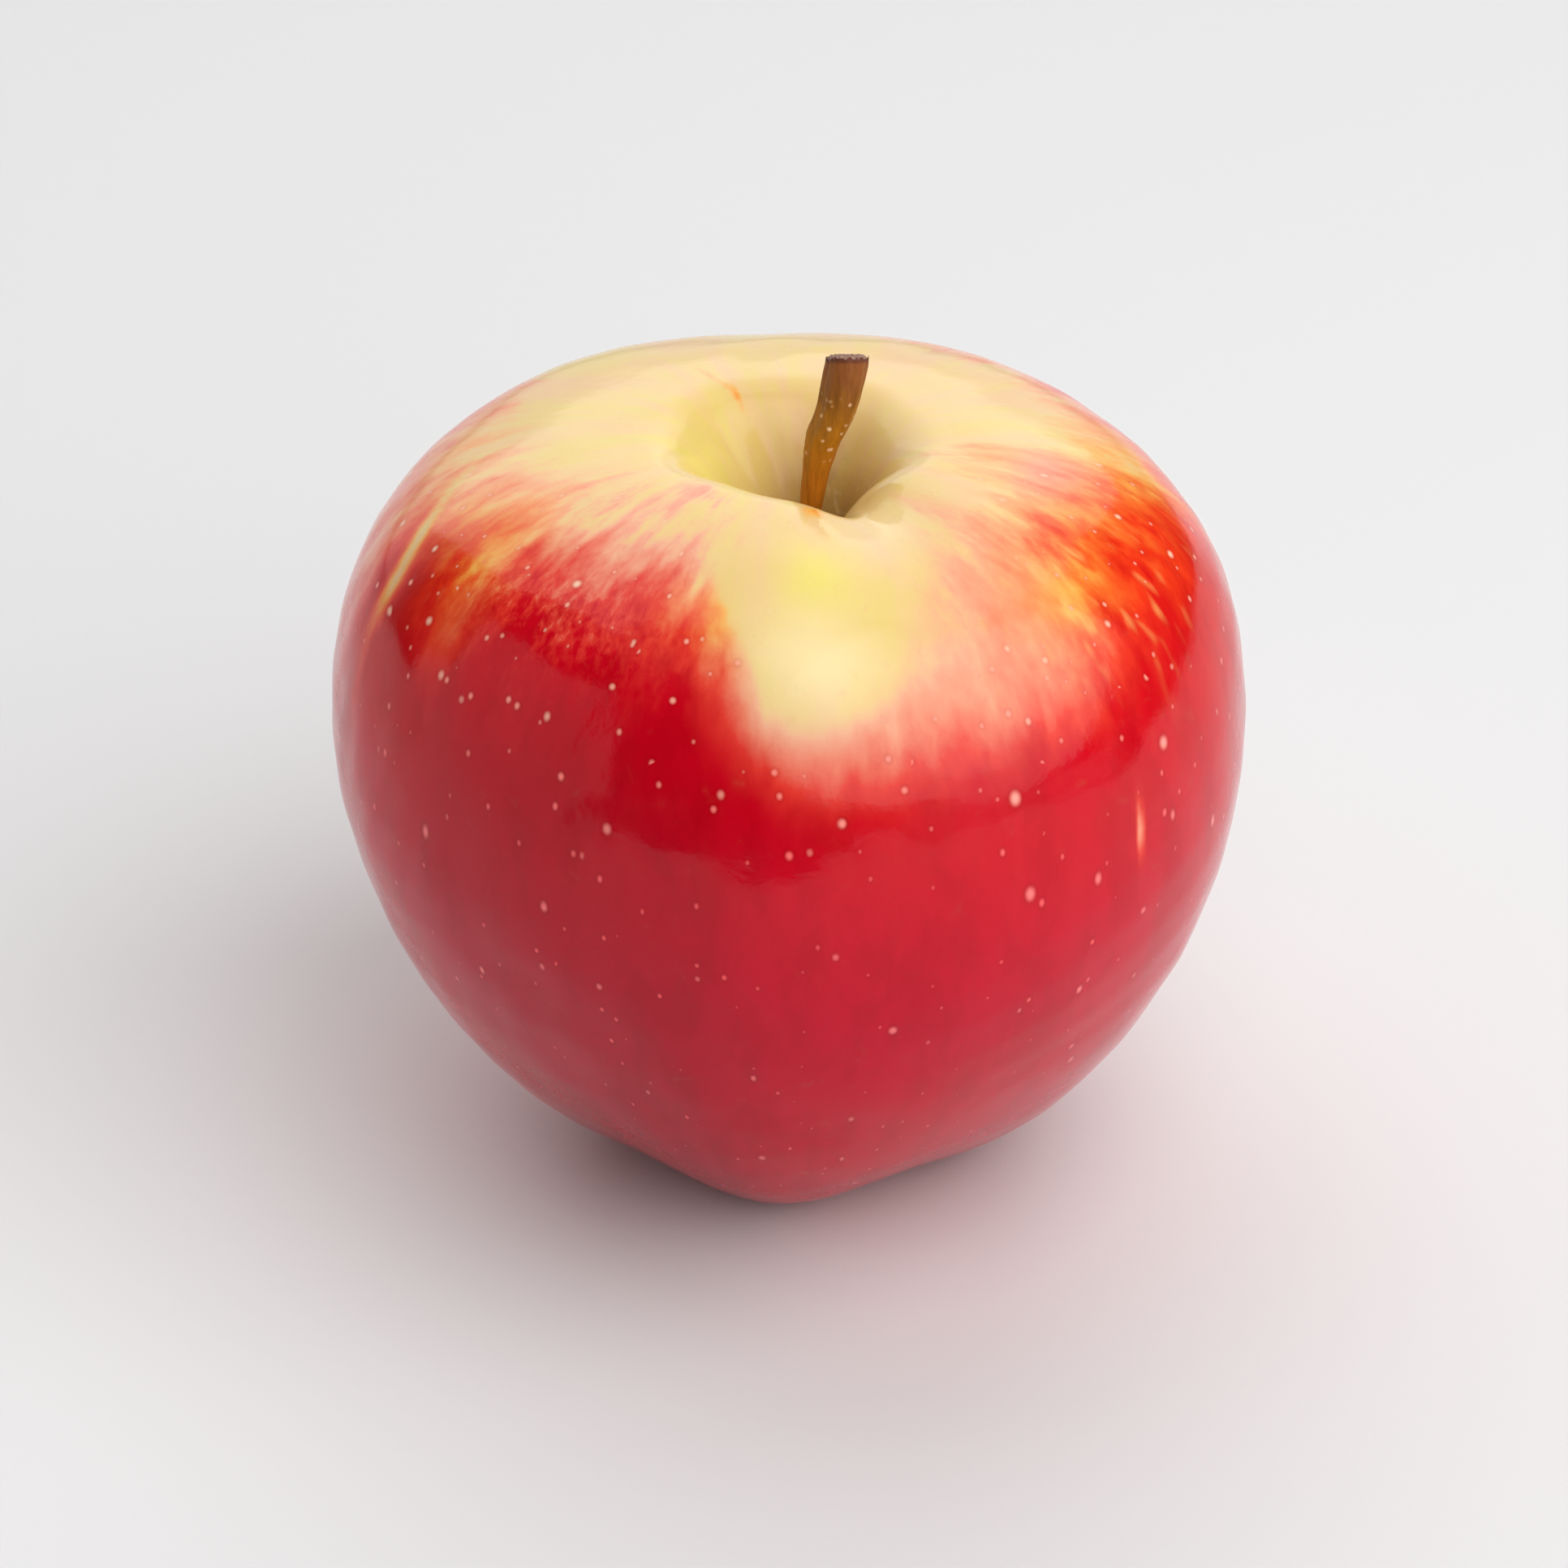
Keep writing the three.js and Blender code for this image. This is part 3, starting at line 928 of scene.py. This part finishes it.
def with_lenticels(growth_line, station_now, amount, colour):
    """Halos and dots laid over the colour, weaker where the ground is pale."""
    on_shoulder = rescale(station_now, 1.0, 1.5)
    share = rescale(amount, 0.1, 0.6, 0.12, 1.0)
    ripeness = rescale(station_now, 0.8, 1.25, 0.7, 1.0)
    for spacing, size, low_tint, high_tint in PORES:
        dot, halo = pores(growth_line, spacing * MM, size * MM, ripeness)
        tint = blend(on_shoulder, low_tint, high_tint)
        colour = blend(times(halo, share), colour, PORE_HALO, "MULTIPLY")
        colour = blend(times(dot, share), colour, tint)
    return colour


# %% [markdown]
# ## The skin's colour
#
# The colour is built in layers, as a painter would glaze it. First comes the amount of red, with
# noise that is strongest where the red has half faded. It runs up a pink and an orange scale.
# Over that lie the ground's own hues, deeper tones in the full red, painted shade low down, on the
# lower left flank and in the cavity, and the russet. One mixed noise could drive everything, but
# then all the layers would break at the same places. The wax on top is the shader's own smooth
# gloss, over a bump too fine to see.

# %% Skin colours
PINK_SCALE = [
    (0.0, (0.79, 0.54, 0.22)),
    (0.25, (0.83, 0.37, 0.23)),
    (0.5, (0.81, 0.19, 0.115)),
    (0.75, (0.76, 0.042, 0.028)),
    (1.0, (0.60, 0.001, 0.011)),
]
ORANGE_SCALE = [
    (0.0, (0.82, 0.54, 0.13)),
    (0.3, (0.88, 0.40, 0.07)),
    (0.6, (0.86, 0.14, 0.02)),
    (0.85, (0.80, 0.04, 0.008)),
    (1.0, (0.66, 0.01, 0.006)),
]
GROUND_SCALE = [(0.36, (0.77, 0.57, 0.18)), (0.5, (0.79, 0.55, 0.22)), (0.64, (0.80, 0.52, 0.25))]
YELLOW_STROKE = (0.87, 0.52, 0.15, 1)
GREEN_GROUND = (0.82, 0.70, 0.14, 1)
CREAM_GROUND = (0.93, 0.74, 0.37, 1)
# Painted shade: the crimson that the full red darkens to low on the fruit.
PAINTED_SHADE_CRIMSON = (0.58, 0.001, 0.022, 1)
CLOUD_SHADE = (0.78, 0.45, 0.62, 1)
# Painted shade on the lower left flank.
PAINTED_FLANK_SHADE = (0.68, 0.4, 0.75, 1)
# Painted shade in the cavity.
PAINTED_CAVITY_SHADE = (0.55, 0.44, 0.26, 1)
RUSSET_BROWN = (0.38, 0.22, 0.08, 1)
RUSSET_FLAKE = (0.66, 0.49, 0.25, 1)
print("steps on the pink, orange and ground scales:", len(PINK_SCALE), len(ORANGE_SCALE), len(GROUND_SCALE))

# %% Layers of the skin


def centred(value, strength):
    """Noise moved to swing round 0, times a strength."""
    return times(minus(value, 0.5), strength)


def red_amount(tree, growth_line):
    """The blush plus noise: blotches, streaks and dapple in shares of about 2, 1 and 1, times
    a strength that is greatest where the blush is a half, and speckle where it is veined."""
    blotches = grown_noise(growth_line, 8, 5, 2.5, 0.5, 0.3)
    streaks = grown_noise(growth_line, 14, 4, 2, 0.45, 0.2)
    dapple = grown_noise(growth_line, 27, 19, 3, 0.55, 0.3)
    speckle = grown_noise(growth_line, 55, 40, 3, 0.6, 0.4)
    grain = plus(times(blotches, 0.52), times(streaks, 0.24))
    grain = plus(grain, times(dapple, 0.24))
    red = attribute(tree, "blush")
    veined = attribute(tree, "veined")
    edge = times(red, minus(1.0, red))
    strength = plus(times(edge, 2.0), 0.08)
    strength = plus(strength, times(veined, 0.5))
    strength = times(strength, attribute(tree, "feather"))
    amount = plus(red, times(centred(grain, 3.3), strength))
    speckle = times(centred(speckle, 1.1), veined)
    return plus(amount, speckle, clamp=True)


def red_and_ground(tree, growth_line, amount):
    """The amount's place on the pink and the orange scale, mixed by the warm field, with yellow
    strokes, and the ground's own hues where little red is left."""
    pink, orange = ramp(amount, PINK_SCALE), ramp(amount, ORANGE_SCALE)
    colour = blend(attribute(tree, "warm"), pink, orange)
    strokes = rescale(grown_noise(growth_line, 21, 11, 1, 0.4, 0.0), 0.57, 0.82)
    strokes = times(strokes, attribute(tree, "flecked"))
    colour = blend(strokes, colour, YELLOW_STROKE)
    drift = grown_noise(growth_line, 5, 3, 4, 0.55, 0.6)
    colour = blend(rescale(amount, 0.3, 0.0), colour, ramp(drift, GROUND_SCALE))
    bare = minus(1.0, amount, clamp=True)
    for field, hue in [("green", GREEN_GROUND), ("cream", CREAM_GROUND)]:
        colour = blend(times(attribute(tree, field), bare), colour, hue)
    return colour


def deepened(tree, growth_line, station_now, amount, colour):
    """Painted shade and deeper tones: crimson in the full red low down, where shade falls under the fruit,
    soft clouds of darker red, and the painted shade of the lower left flank and of the cavity.
    """
    # Painted shade: low on the fruit, where shade falls under it, the full red darkens to crimson.
    below = times(rescale(station_now, 1.25, 0.8), rescale(amount, 0.7, 0.95))
    colour = blend(below, colour, PAINTED_SHADE_CRIMSON)
    clouds = rescale(grown_noise(growth_line, 9, 6, 4, 0.6, 0.3), 0.42, 0.64)
    clouds = times(clouds, rescale(amount, 0.3, 0.9))
    colour = blend(times(clouds, 0.5), colour, CLOUD_SHADE, "MULTIPLY")
    # Painted shade on the lower left flank.
    colour = blend(attribute(tree, "left_flank_shade"), colour, PAINTED_FLANK_SHADE, "MULTIPLY")
    # Painted shade on the cavity's wall.
    return blend(attribute(tree, "cavity_shade"), colour, PAINTED_CAVITY_SHADE, "MULTIPLY")


def with_russet(tree, place, colour):
    """Brown cork where the russet field and a noise together are high, and paler flakes on it."""
    russet = attribute(tree, "russet")
    cork = plus(russet, minus(noise(place, 420, 4, 0.6, 0.4), 0.5))
    cork = times(rescale(cork, 0.1, 0.9), 0.85)
    colour = blend(cork, colour, RUSSET_BROWN)
    flakes = rescale(noise(place, 900, 2, 0.5, 0.8), 0.56, 0.68)
    flakes = times(times(flakes, russet), 0.55)
    return blend(flakes, colour, RUSSET_FLAKE)


# %% Skin material
WAX_ROUGHNESS, WAX_IOR = 0.13, 1.345


def skin_material():
    """The layers of colour under a smooth wax with a very fine unevenness."""
    material, tree, shader = new_material("apple_skin")
    place = put(tree, "ShaderNodeTexCoord").outputs["Object"]
    growth_line = attribute(tree, "growth", "Vector")
    station_now = put(tree, "ShaderNodeSeparateXYZ", {0: growth_line}).outputs["Z"]
    amount = red_amount(tree, growth_line)
    colour = red_and_ground(tree, growth_line, amount)
    colour = deepened(tree, growth_line, station_now, amount, colour)
    colour = with_russet(tree, place, colour)
    colour = with_lenticels(growth_line, station_now, amount, colour)
    dimples = bump(noise(place, 700, 3, 0.6), 0.03 * MM)
    fill(tree, shader, {"Base Color": colour, "Normal": dimples, "Roughness": WAX_ROUGHNESS, "IOR": WAX_IOR})
    return material


skin = skin_material()
fruit = new_piece("apple_skin", fruit_mesh, skin)
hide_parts("fruit")
print("nodes in the skin:", len(skin.node_tree.nodes))

# %% [markdown]
# ## The stalk
#
# The stalk is a woody twig: thin where it leaves the core, with a knee three quarters of the
# way up, and thicker at the end that broke from the branch. It could be a bent cylinder with a
# bump map, but its outline shows against the pale skin, so the ridges, the knee and the
# slanting, frayed end are real shape. Each ring is a circle with its own radius and lean,
# swollen by a few ridges. Past the rim the rings close over the end as a face of torn wood.

# %% Stalk dimensions, in millimetres; heights are shares of the whole length
STALK_HEIGHTS = [0, 0.2, 0.45, 0.57, 0.65, 0.71, 0.75, 0.82, 0.9, 1]
STALK_LEAN = [0, 0.5, 1.5, 1.86, 2.22, 2.6, 3.15, 3.75, 4.1, 4.45]
STALK_RADII = [1.25, 0.95, 0.9, 1.1, 1.35, 1.55, 1.62, 1.68, 1.78, 1.73]
STALK_LENGTH = 25.8
# Ridges: their number, twist from foot to end, start and size
STALK_RIDGES = [(3, 2.5, 0.0, 0.045), (5, -4.0, 1.0, 0.03), (8, 6.0, 2.4, 0.025), (13, -9.0, 4.0, 0.015)]
STALK_KNEE, KNEE_REACH, KNEE_SWELL = 0.725, 0.02, 0.1
CUT_SLOPE = 0.38
FRAY_HEIGHT = 0.35
FACE_RADII = np.array([0.97, 0.9, 0.76, 0.6, 0.42, 0.25, 0.1])
FACE_DEPTHS = np.array([0.06, -0.1, -0.32, -0.25, -0.34, -0.2, -0.25])
STALK_RINGS = 130
STALK_SIDES = 64


def soft_line(places, values, at):
    """A line through the given values, with its corners rounded by a short average."""
    reach = 0.03
    shifts = np.linspace(-reach, reach, 9)
    return np.mean([np.interp(at + shift, places, values) for shift in shifts], axis=0)


print("stalk radius at the knee, mm:", round(float(soft_line(STALK_HEIGHTS, STALK_RADII, STALK_KNEE)), 2))

# %% Stalk surface


def stalk_surface():
    """Circles whose radius and lean follow the height, times one plus a few ridge waves. The
    top is sheared to a slanting cut, its rim is lifted at random, and the torn face stands in it."""
    draw = np.random.default_rng(7)
    angle = full_turn(STALK_SIDES)[None, :]
    share = np.linspace(0, 1, STALK_RINGS)[:, None]
    ridges = [
        size * np.sin(count * angle + twist * share + start) for count, twist, start, size in STALK_RIDGES
    ]
    knee = KNEE_SWELL * np.exp(-(((share - STALK_KNEE) / KNEE_REACH) ** 2)) * (0.6 - 0.4 * np.sin(angle))
    girth = soft_line(STALK_HEIGHTS, STALK_RADII, share) * (1 + sum(ridges)) + knee
    fray = FRAY_HEIGHT * draw.uniform(0, 1, STALK_SIDES)[None, :] ** 2
    height = share * (STALK_LENGTH - FRAY_HEIGHT) + fray * ease(share, 0.985, 1)
    face_radius = girth[-1:] * FACE_RADII[:, None]
    fibres = draw.uniform(-0.12, 0.12, (len(FACE_RADII), STALK_SIDES))
    face_height = STALK_LENGTH - FRAY_HEIGHT - FACE_DEPTHS[:, None] + fibres
    centre = np.zeros((1, STALK_SIDES))
    radius = np.vstack([centre, girth, face_radius, centre])
    height = np.vstack([centre, height, face_height, centre + face_height[-1].mean()])
    along = np.vstack([centre, share + 0 * angle, 1 + 0 * face_radius, centre + 1])
    end_face = np.vstack([0 * centre, 0 * girth, 1 + 0 * face_radius, centre + 1])
    x = soft_line(STALK_HEIGHTS, STALK_LEAN, along) + radius * np.sin(angle)
    y = -radius * np.cos(angle)
    points = np.stack([x, y, height - CUT_SLOPE * ease(along, 0.85, 1) * (y + STALK_RADII[-1])], -1)
    roughness = relief(points * (1, 1, 0.3), 0.02, 0.5, 1.6, seed=11)
    outward = np.stack([np.sin(angle) + 0 * radius, -np.cos(angle) + 0 * radius, 0 * radius], -1)
    return points + outward * (roughness * (radius > 0))[..., None], along, end_face


def fill_box(rings, node):
    """Moves and stretches points so that they fill the box of a CAD node, in metres."""
    low, high = (np.array(corner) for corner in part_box(node))
    own_low, own_high = rings.reshape(-1, 3).min(0), rings.reshape(-1, 3).max(0)
    return low + (rings - own_low) / (own_high - own_low) * (high - low)


stalk_rings, along, end_face = stalk_surface()
stalk_mesh = closed_mesh("stalk_bark", fill_box(stalk_rings, "stalk"))
add_attribute(stalk_mesh, "along", along)
add_attribute(stalk_mesh, "end_face", end_face)
print("stalk faces:", len(stalk_mesh.polygons), "size, mm:", np.round(np.ptp(stalk_rings, axis=(0, 1)), 2))

# %% [markdown]
# ## Bark
#
# The bark is a warm orange brown, darker near the break, and darkest at its foot, which is painted
# shade where the stalk sinks into the cavity. Its colour runs up a scale with the height, which one
# flat brown couldn't give, and noise stretched along the stalk gives the fibres. A few corky specks
# sit around the knee. The broken face is pale and fibrous, with a dark red rim where the bark has dried.

# %% Bark material
BARK_SCALE = [
    # Painted shade: the darkest stop, at the foot, where the stalk sinks into the cavity.
    (0.0, (0.16, 0.07, 0.010)),
    (0.35, (0.45, 0.16, 0.005)),
    (0.58, (0.47, 0.15, 0.006)),
    (0.72, (0.42, 0.16, 0.004)),
    (0.85, (0.26, 0.092, 0.006)),
    (0.97, (0.27, 0.080, 0.014)),
]
FIBRE_SHADES = [(0.3, (0.62, 0.55, 0.5)), (0.5, (1, 1, 1)), (0.72, (1.25, 1.25, 1.25))]
TORN_WOOD = [(0.3, (0.20, 0.09, 0.06)), (0.6, (0.36, 0.20, 0.14))]
CORK_SPECK = (0.80, 0.52, 0.30, 1)
CORK_SPACING = 0.85
DRIED_RIM = (0.10, 0.022, 0.012, 1)


def bark_material():
    """A colour scale up the stalk, darkened and lightened along the fibres."""
    material, tree, shader = new_material("stalk_bark")
    place = put(tree, "ShaderNodeTexCoord").outputs["Object"]
    height = attribute(tree, "along")
    fibres = noise(stretched(place, 1, 1, 0.12), 2200, 4, 0.6, 0.4)
    patches = noise(stretched(place, 1, 1, 0.5), 620, 3, 0.55, 0.5)
    colour = ramp(plus(height, centred(patches, 0.3)), BARK_SCALE)
    colour = blend(0.65, colour, ramp(fibres, FIBRE_SHADES), "MULTIPLY")
    cells = put(tree, "ShaderNodeTexVoronoi", {"Vector": place, "Scale": 1 / (CORK_SPACING * MM)})
    specks = rescale(cells.outputs["Distance"], 0.3, 0.12)
    near_knee = minus(rescale(height, 0.6, 0.68), rescale(height, 0.82, 0.88))
    colour = blend(times(specks, near_knee), colour, CORK_SPECK)
    rim = rescale(height, 0.982, 0.994)
    colour = blend(times(rim, 0.8), colour, DRIED_RIM)
    colour = blend(attribute(tree, "end_face"), colour, ramp(fibres, TORN_WOOD))
    grooves = bump(fibres, 0.08 * MM)
    fill(tree, shader, {"Base Color": colour, "Normal": grooves, "Roughness": 0.5, "IOR": 1.4})
    return material


bark = bark_material()
stalk = new_piece("stalk_bark", stalk_mesh, bark)
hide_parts("stalk")
print("nodes in the bark:", len(bark.node_tree.nodes))

# %% [markdown]
# ## Torn fibres at the stalk's end
#
# Where the stalk snapped off the branch a few fibres of the bark stand up from the rim. A hair
# system could grow them, but so few short hairs are clearer as tapering tubes. One function
# makes any such thing, here and for the stamens below: it carries a circle along a path and
# lets its radius follow the length.

# %% Tubes


def capped(rings):
    """The rings with one more at each end, shrunk to the middle of the last."""
    ends = [np.repeat(rings[end].mean(0)[None, None], rings.shape[1], 1) for end in (0, -1)]
    return np.concatenate([ends[0], rings, ends[1]])


def tube(path, radii, sides):
    """A circle carried along a path, each ring with its own radius, and closed at both ends. A
    ring lies in two directions: one square to the path and to Y, and one square to both."""
    along_path = unit(np.gradient(path, axis=0))
    across = unit(np.cross((0, 1, 0), along_path))
    through = np.cross(along_path, across)
    angle = full_turn(sides)
    ring = across[:, None] * np.sin(angle)[None, :, None] - through[:, None] * np.cos(angle)[None, :, None]
    return capped(path[:, None] + ring * radii[:, None, None])


# %% Stalk fibres
FIBRE_COUNT = 26
FIBRE_LENGTH = (0.35, 0.9)
FIBRE_RADIUS = 0.07
FIBRE_TONES = [(0.35, (0.24, 0.12, 0.08)), (0.65, (0.42, 0.26, 0.19))]


def fibre(foot, heading, length, bend):
    """A hair from its foot along a heading, bent sideways with the square of its length."""
    share = np.linspace(0, 1, 6)[:, None]
    path = foot + heading * length * share + bend * share**2
    return tube(path, FIBRE_RADIUS * MM * (1 - 0.85 * share[:, 0]), 6)


def stalk_fibres():
    """Fibres just inside the rim, one at a random place in each even share of the turn."""
    draw = np.random.default_rng(19)
    rim = fill_box(stalk_rings, "stalk")[STALK_RINGS - 3]
    middle = rim.mean(0)
    made = []
    for turn_index in range(FIBRE_COUNT):
        column = int((turn_index + draw.uniform(0, 1)) / FIBRE_COUNT * STALK_SIDES) % STALK_SIDES
        foot = middle + (rim[column] - middle) * draw.uniform(0.7, 0.97)
        heading = np.array([draw.uniform(-0.25, 0.3), draw.uniform(-0.25, 0.25), 1.0])
        bend = draw.uniform(-0.12, 0.12, 3) * MM
        made.append(fibre(foot, heading, draw.uniform(*FIBRE_LENGTH) * MM, bend))
    return made


def fibre_material():
    """Pale dry wood, a little darker in places."""
    material, tree, shader = new_material("torn_fibre")
    place = put(tree, "ShaderNodeTexCoord").outputs["Object"]
    colour = ramp(noise(place, 1500, 2), FIBRE_TONES)
    fill(tree, shader, {"Base Color": colour, "Roughness": 0.7})
    return material


torn_fibre = fibre_material()
fibre_mesh = closed_mesh("stalk_end_fibres", *stalk_fibres())
fibres = new_piece("stalk_end_fibres", fibre_mesh, torn_fibre)
print("fibres:", FIBRE_COUNT, "faces:", len(fibre_mesh.polygons))

# %% [markdown]
# ## The dried calyx
#
# Five sepals are left round the hollow under the apple. Each is a small leathery blade that has
# dried, cupped and curled outwards at its tip, with a felt of fine hairs. A flat sheet with
# Solidify would do, but its edge would be square. So a blade is a closed sheet: its
# cross-section is a flattened ring that bends into a cup, carried along a path whose slope
# grows towards the tip. No two curl alike.

# %% Sepals
SEPAL_NAMES = [f"calyx_sepal_{number}" for number in (1, 2, 3, 4, 5)]
SEPAL_RINGS = 40
SEPAL_SIDES = 36
SEPAL_HALF_WIDTH = 1.3
SEPAL_LENGTH = 5.5
SEPAL_THICKNESS = 0.22
SEPAL_CUP = 0.35
SEPAL_LEAN, SEPAL_CURL = 12, (75, 110)
SEPAL_CRUMPLE = 0.07
print("sepals to make:", SEPAL_NAMES)


def sepal_surface(node, seed):
    """A blade that hangs down and curls outwards: half width times (1-u)^0.7 (0.7+0.9u), a cup
    that grows with the square of the place across, and a little crumpling. It is returned with
    its share of the length, u, for each ring."""
    draw = np.random.default_rng(seed)
    low, high = (np.array(corner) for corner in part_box(node))
    out = unit(((low + high) / 2 - core) * (1, 1, 0))
    share = np.linspace(0, 1, SEPAL_RINGS)
    slope = math.radians(SEPAL_LEAN) + math.radians(draw.uniform(*SEPAL_CURL)) * share**2.2
    step = np.stack([np.sin(slope), -np.cos(slope)], -1) * SEPAL_LENGTH / SEPAL_RINGS
    run, drop = np.cumsum(step, axis=0).T
    path = out * run[:, None] + np.array([0, 0, 1]) * drop[:, None]
    side = np.cross((0, 0, 1), out)
    face = unit(np.cross(np.gradient(path, axis=0), side))
    half = SEPAL_HALF_WIDTH * (1.02 - share) ** 0.7 * (0.7 + 0.9 * share)
    angle = full_turn(SEPAL_SIDES)
    sideways = half[:, None] * np.sin(angle)
    cup = SEPAL_CUP * half[:, None] * np.sin(angle) ** 2
    lift = cup - SEPAL_THICKNESS / 2 * np.cos(angle) * (1.1 - share[:, None])
    rings = path[:, None] + side * sideways[..., None] + face[:, None] * lift[..., None]
    crumple = relief(rings, SEPAL_CRUMPLE, 1.2, 3.0, seed=seed + 50)
    rings = capped(rings + face[:, None] * crumple[..., None])
    return rings, np.pad(share, 1, mode="edge")[:, None]


# %% Calyx material
CALYX_SCALE = [(0.3, (0.10, 0.055, 0.03)), (0.5, (0.22, 0.13, 0.07)), (0.7, (0.38, 0.28, 0.17))]
CALYX_HAIR = (0.55, 0.48, 0.36, 1)
CALYX_TIP = (0.07, 0.035, 0.02, 1)


def calyx_material():
    """Mottled grey-brown leather, darker towards the tip, with a felt of pale hairs."""
    material, tree, shader = new_material("dried_calyx")
    place = put(tree, "ShaderNodeTexCoord").outputs["Object"]
    mottle = noise(place, 900, 4, 0.6, 0.3)
    hairs = noise(stretched(place, 1, 1, 0.25), 3000, 3, 0.7)
    colour = ramp(mottle, CALYX_SCALE)
    colour = blend(rescale(hairs, 0.5, 0.75, 0, 0.6), colour, CALYX_HAIR)
    colour = blend(rescale(attribute(tree, "along"), 0.6, 1.0, 0, 0.5), colour, CALYX_TIP)
    felt = bump(hairs, 0.08 * MM)
    fill(tree, shader, {"Base Color": colour, "Normal": felt, "Roughness": 0.85, "Sheen Weight": 0.3})
    return material


dried_calyx = calyx_material()
for seed, node in enumerate(SEPAL_NAMES, start=31):
    blade, share = sepal_surface(node, seed)
    blade_mesh = closed_mesh("dried_" + node, fill_box(blade, node))
    add_attribute(blade_mesh, "along", np.broadcast_to(share, blade.shape[:2]))
    sepal = new_piece("dried_" + node, blade_mesh, dried_calyx)
    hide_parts(node)
print("sepals:", len(SEPAL_NAMES), "faces each:", len(blade_mesh.polygons))

# %% [markdown]
# ## The stamens
#
# Inside the ring of sepals hangs a tuft of dried stamens: fine wandering threads, each with the
# shrivelled knob that held the pollen. They grow from a small woody button. The threads are
# tubes along paths that wander more and more towards the tip. One blob with a bump map would be
# quicker, but from below the gaps between the threads show.

# %% Stamen tuft
STAMEN_COUNT = 16
STAMEN_LENGTH = (2.4, 3.6)
STAMEN_RADIUS = 0.09
KNOB_RADIUS = 0.2
BUTTON_RADIUS = 1.5
BUTTON_HEIGHT = 0.9
STAMEN_WANDER = 0.12


def stamen(turn_place, draw):
    """A thread from the button downwards: it leans out with the square of its length, wanders
    in proportion to it, and its radius swells to a knob over the last fifth."""
    share = np.linspace(0, 1, 18)
    radius = BUTTON_RADIUS * draw.uniform(0.2, 0.7)
    foot = np.array([radius * math.sin(turn_place), -radius * math.cos(turn_place), 0])
    lean = foot * draw.uniform(0.2, 0.7) + draw.uniform(-0.3, 0.3, 3) * (1, 1, 0)
    wander = np.sin(share[:, None] * draw.uniform(4, 9, 3) + draw.uniform(0, 6, 3)) * share[:, None]
    length = draw.uniform(*STAMEN_LENGTH)
    sideways = lean * share[:, None] ** 2 + STAMEN_WANDER * wander
    path = foot + sideways - np.array([0, 0, length]) * share[:, None]
    knob = KNOB_RADIUS * np.exp(-(((share - 0.9) / 0.08) ** 2))
    return tube(path, STAMEN_RADIUS * (1 - 0.4 * share) + knob, 10)


def button_surface():
    """A low dome: radius and height run as the sine and cosine of the same angle."""
    angle = np.linspace(0.08, np.pi - 0.08, 20)
    rise = np.stack([0 * angle, 0 * angle, -BUTTON_HEIGHT / 2 * np.cos(angle)], -1)
    dome = tube(rise, BUTTON_RADIUS * np.sin(angle), 40)
    return dome + relief(dome, 0.04, 0.6, 1.6, seed=3)[..., None] * np.array([1, 1, 0.4])


def stamen_tuft():
    """The button and its threads, at even turns with a random shift."""
    draw = np.random.default_rng(23)
    turns = (np.arange(STAMEN_COUNT) + draw.uniform(-0.3, 0.3, STAMEN_COUNT)) * 2 * np.pi / STAMEN_COUNT
    return [button_surface()] + [stamen(place, draw) for place in turns]


# %% Stamens in place
tuft = stamen_tuft()
everything = np.concatenate([part.reshape(-1, 3) for part in tuft])
tuft_placed = fill_box(everything, "dried_stamens")
sizes = np.cumsum([0] + [part.shape[0] * part.shape[1] for part in tuft])
tuft = [tuft_placed[start:end].reshape(part.shape) for part, start, end in zip(tuft, sizes, sizes[1:])]
tuft_mesh = closed_mesh("stamen_tuft", *tuft)
heights = [np.linspace(0, 1, part.shape[0])[:, None] * np.ones(part.shape[1]) for part in tuft]
add_attribute(tuft_mesh, "along", *heights)
stamens = new_piece("stamen_tuft", tuft_mesh, dried_calyx)
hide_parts("dried_stamens")
print("stamens:", STAMEN_COUNT, "faces:", len(tuft_mesh.polygons))
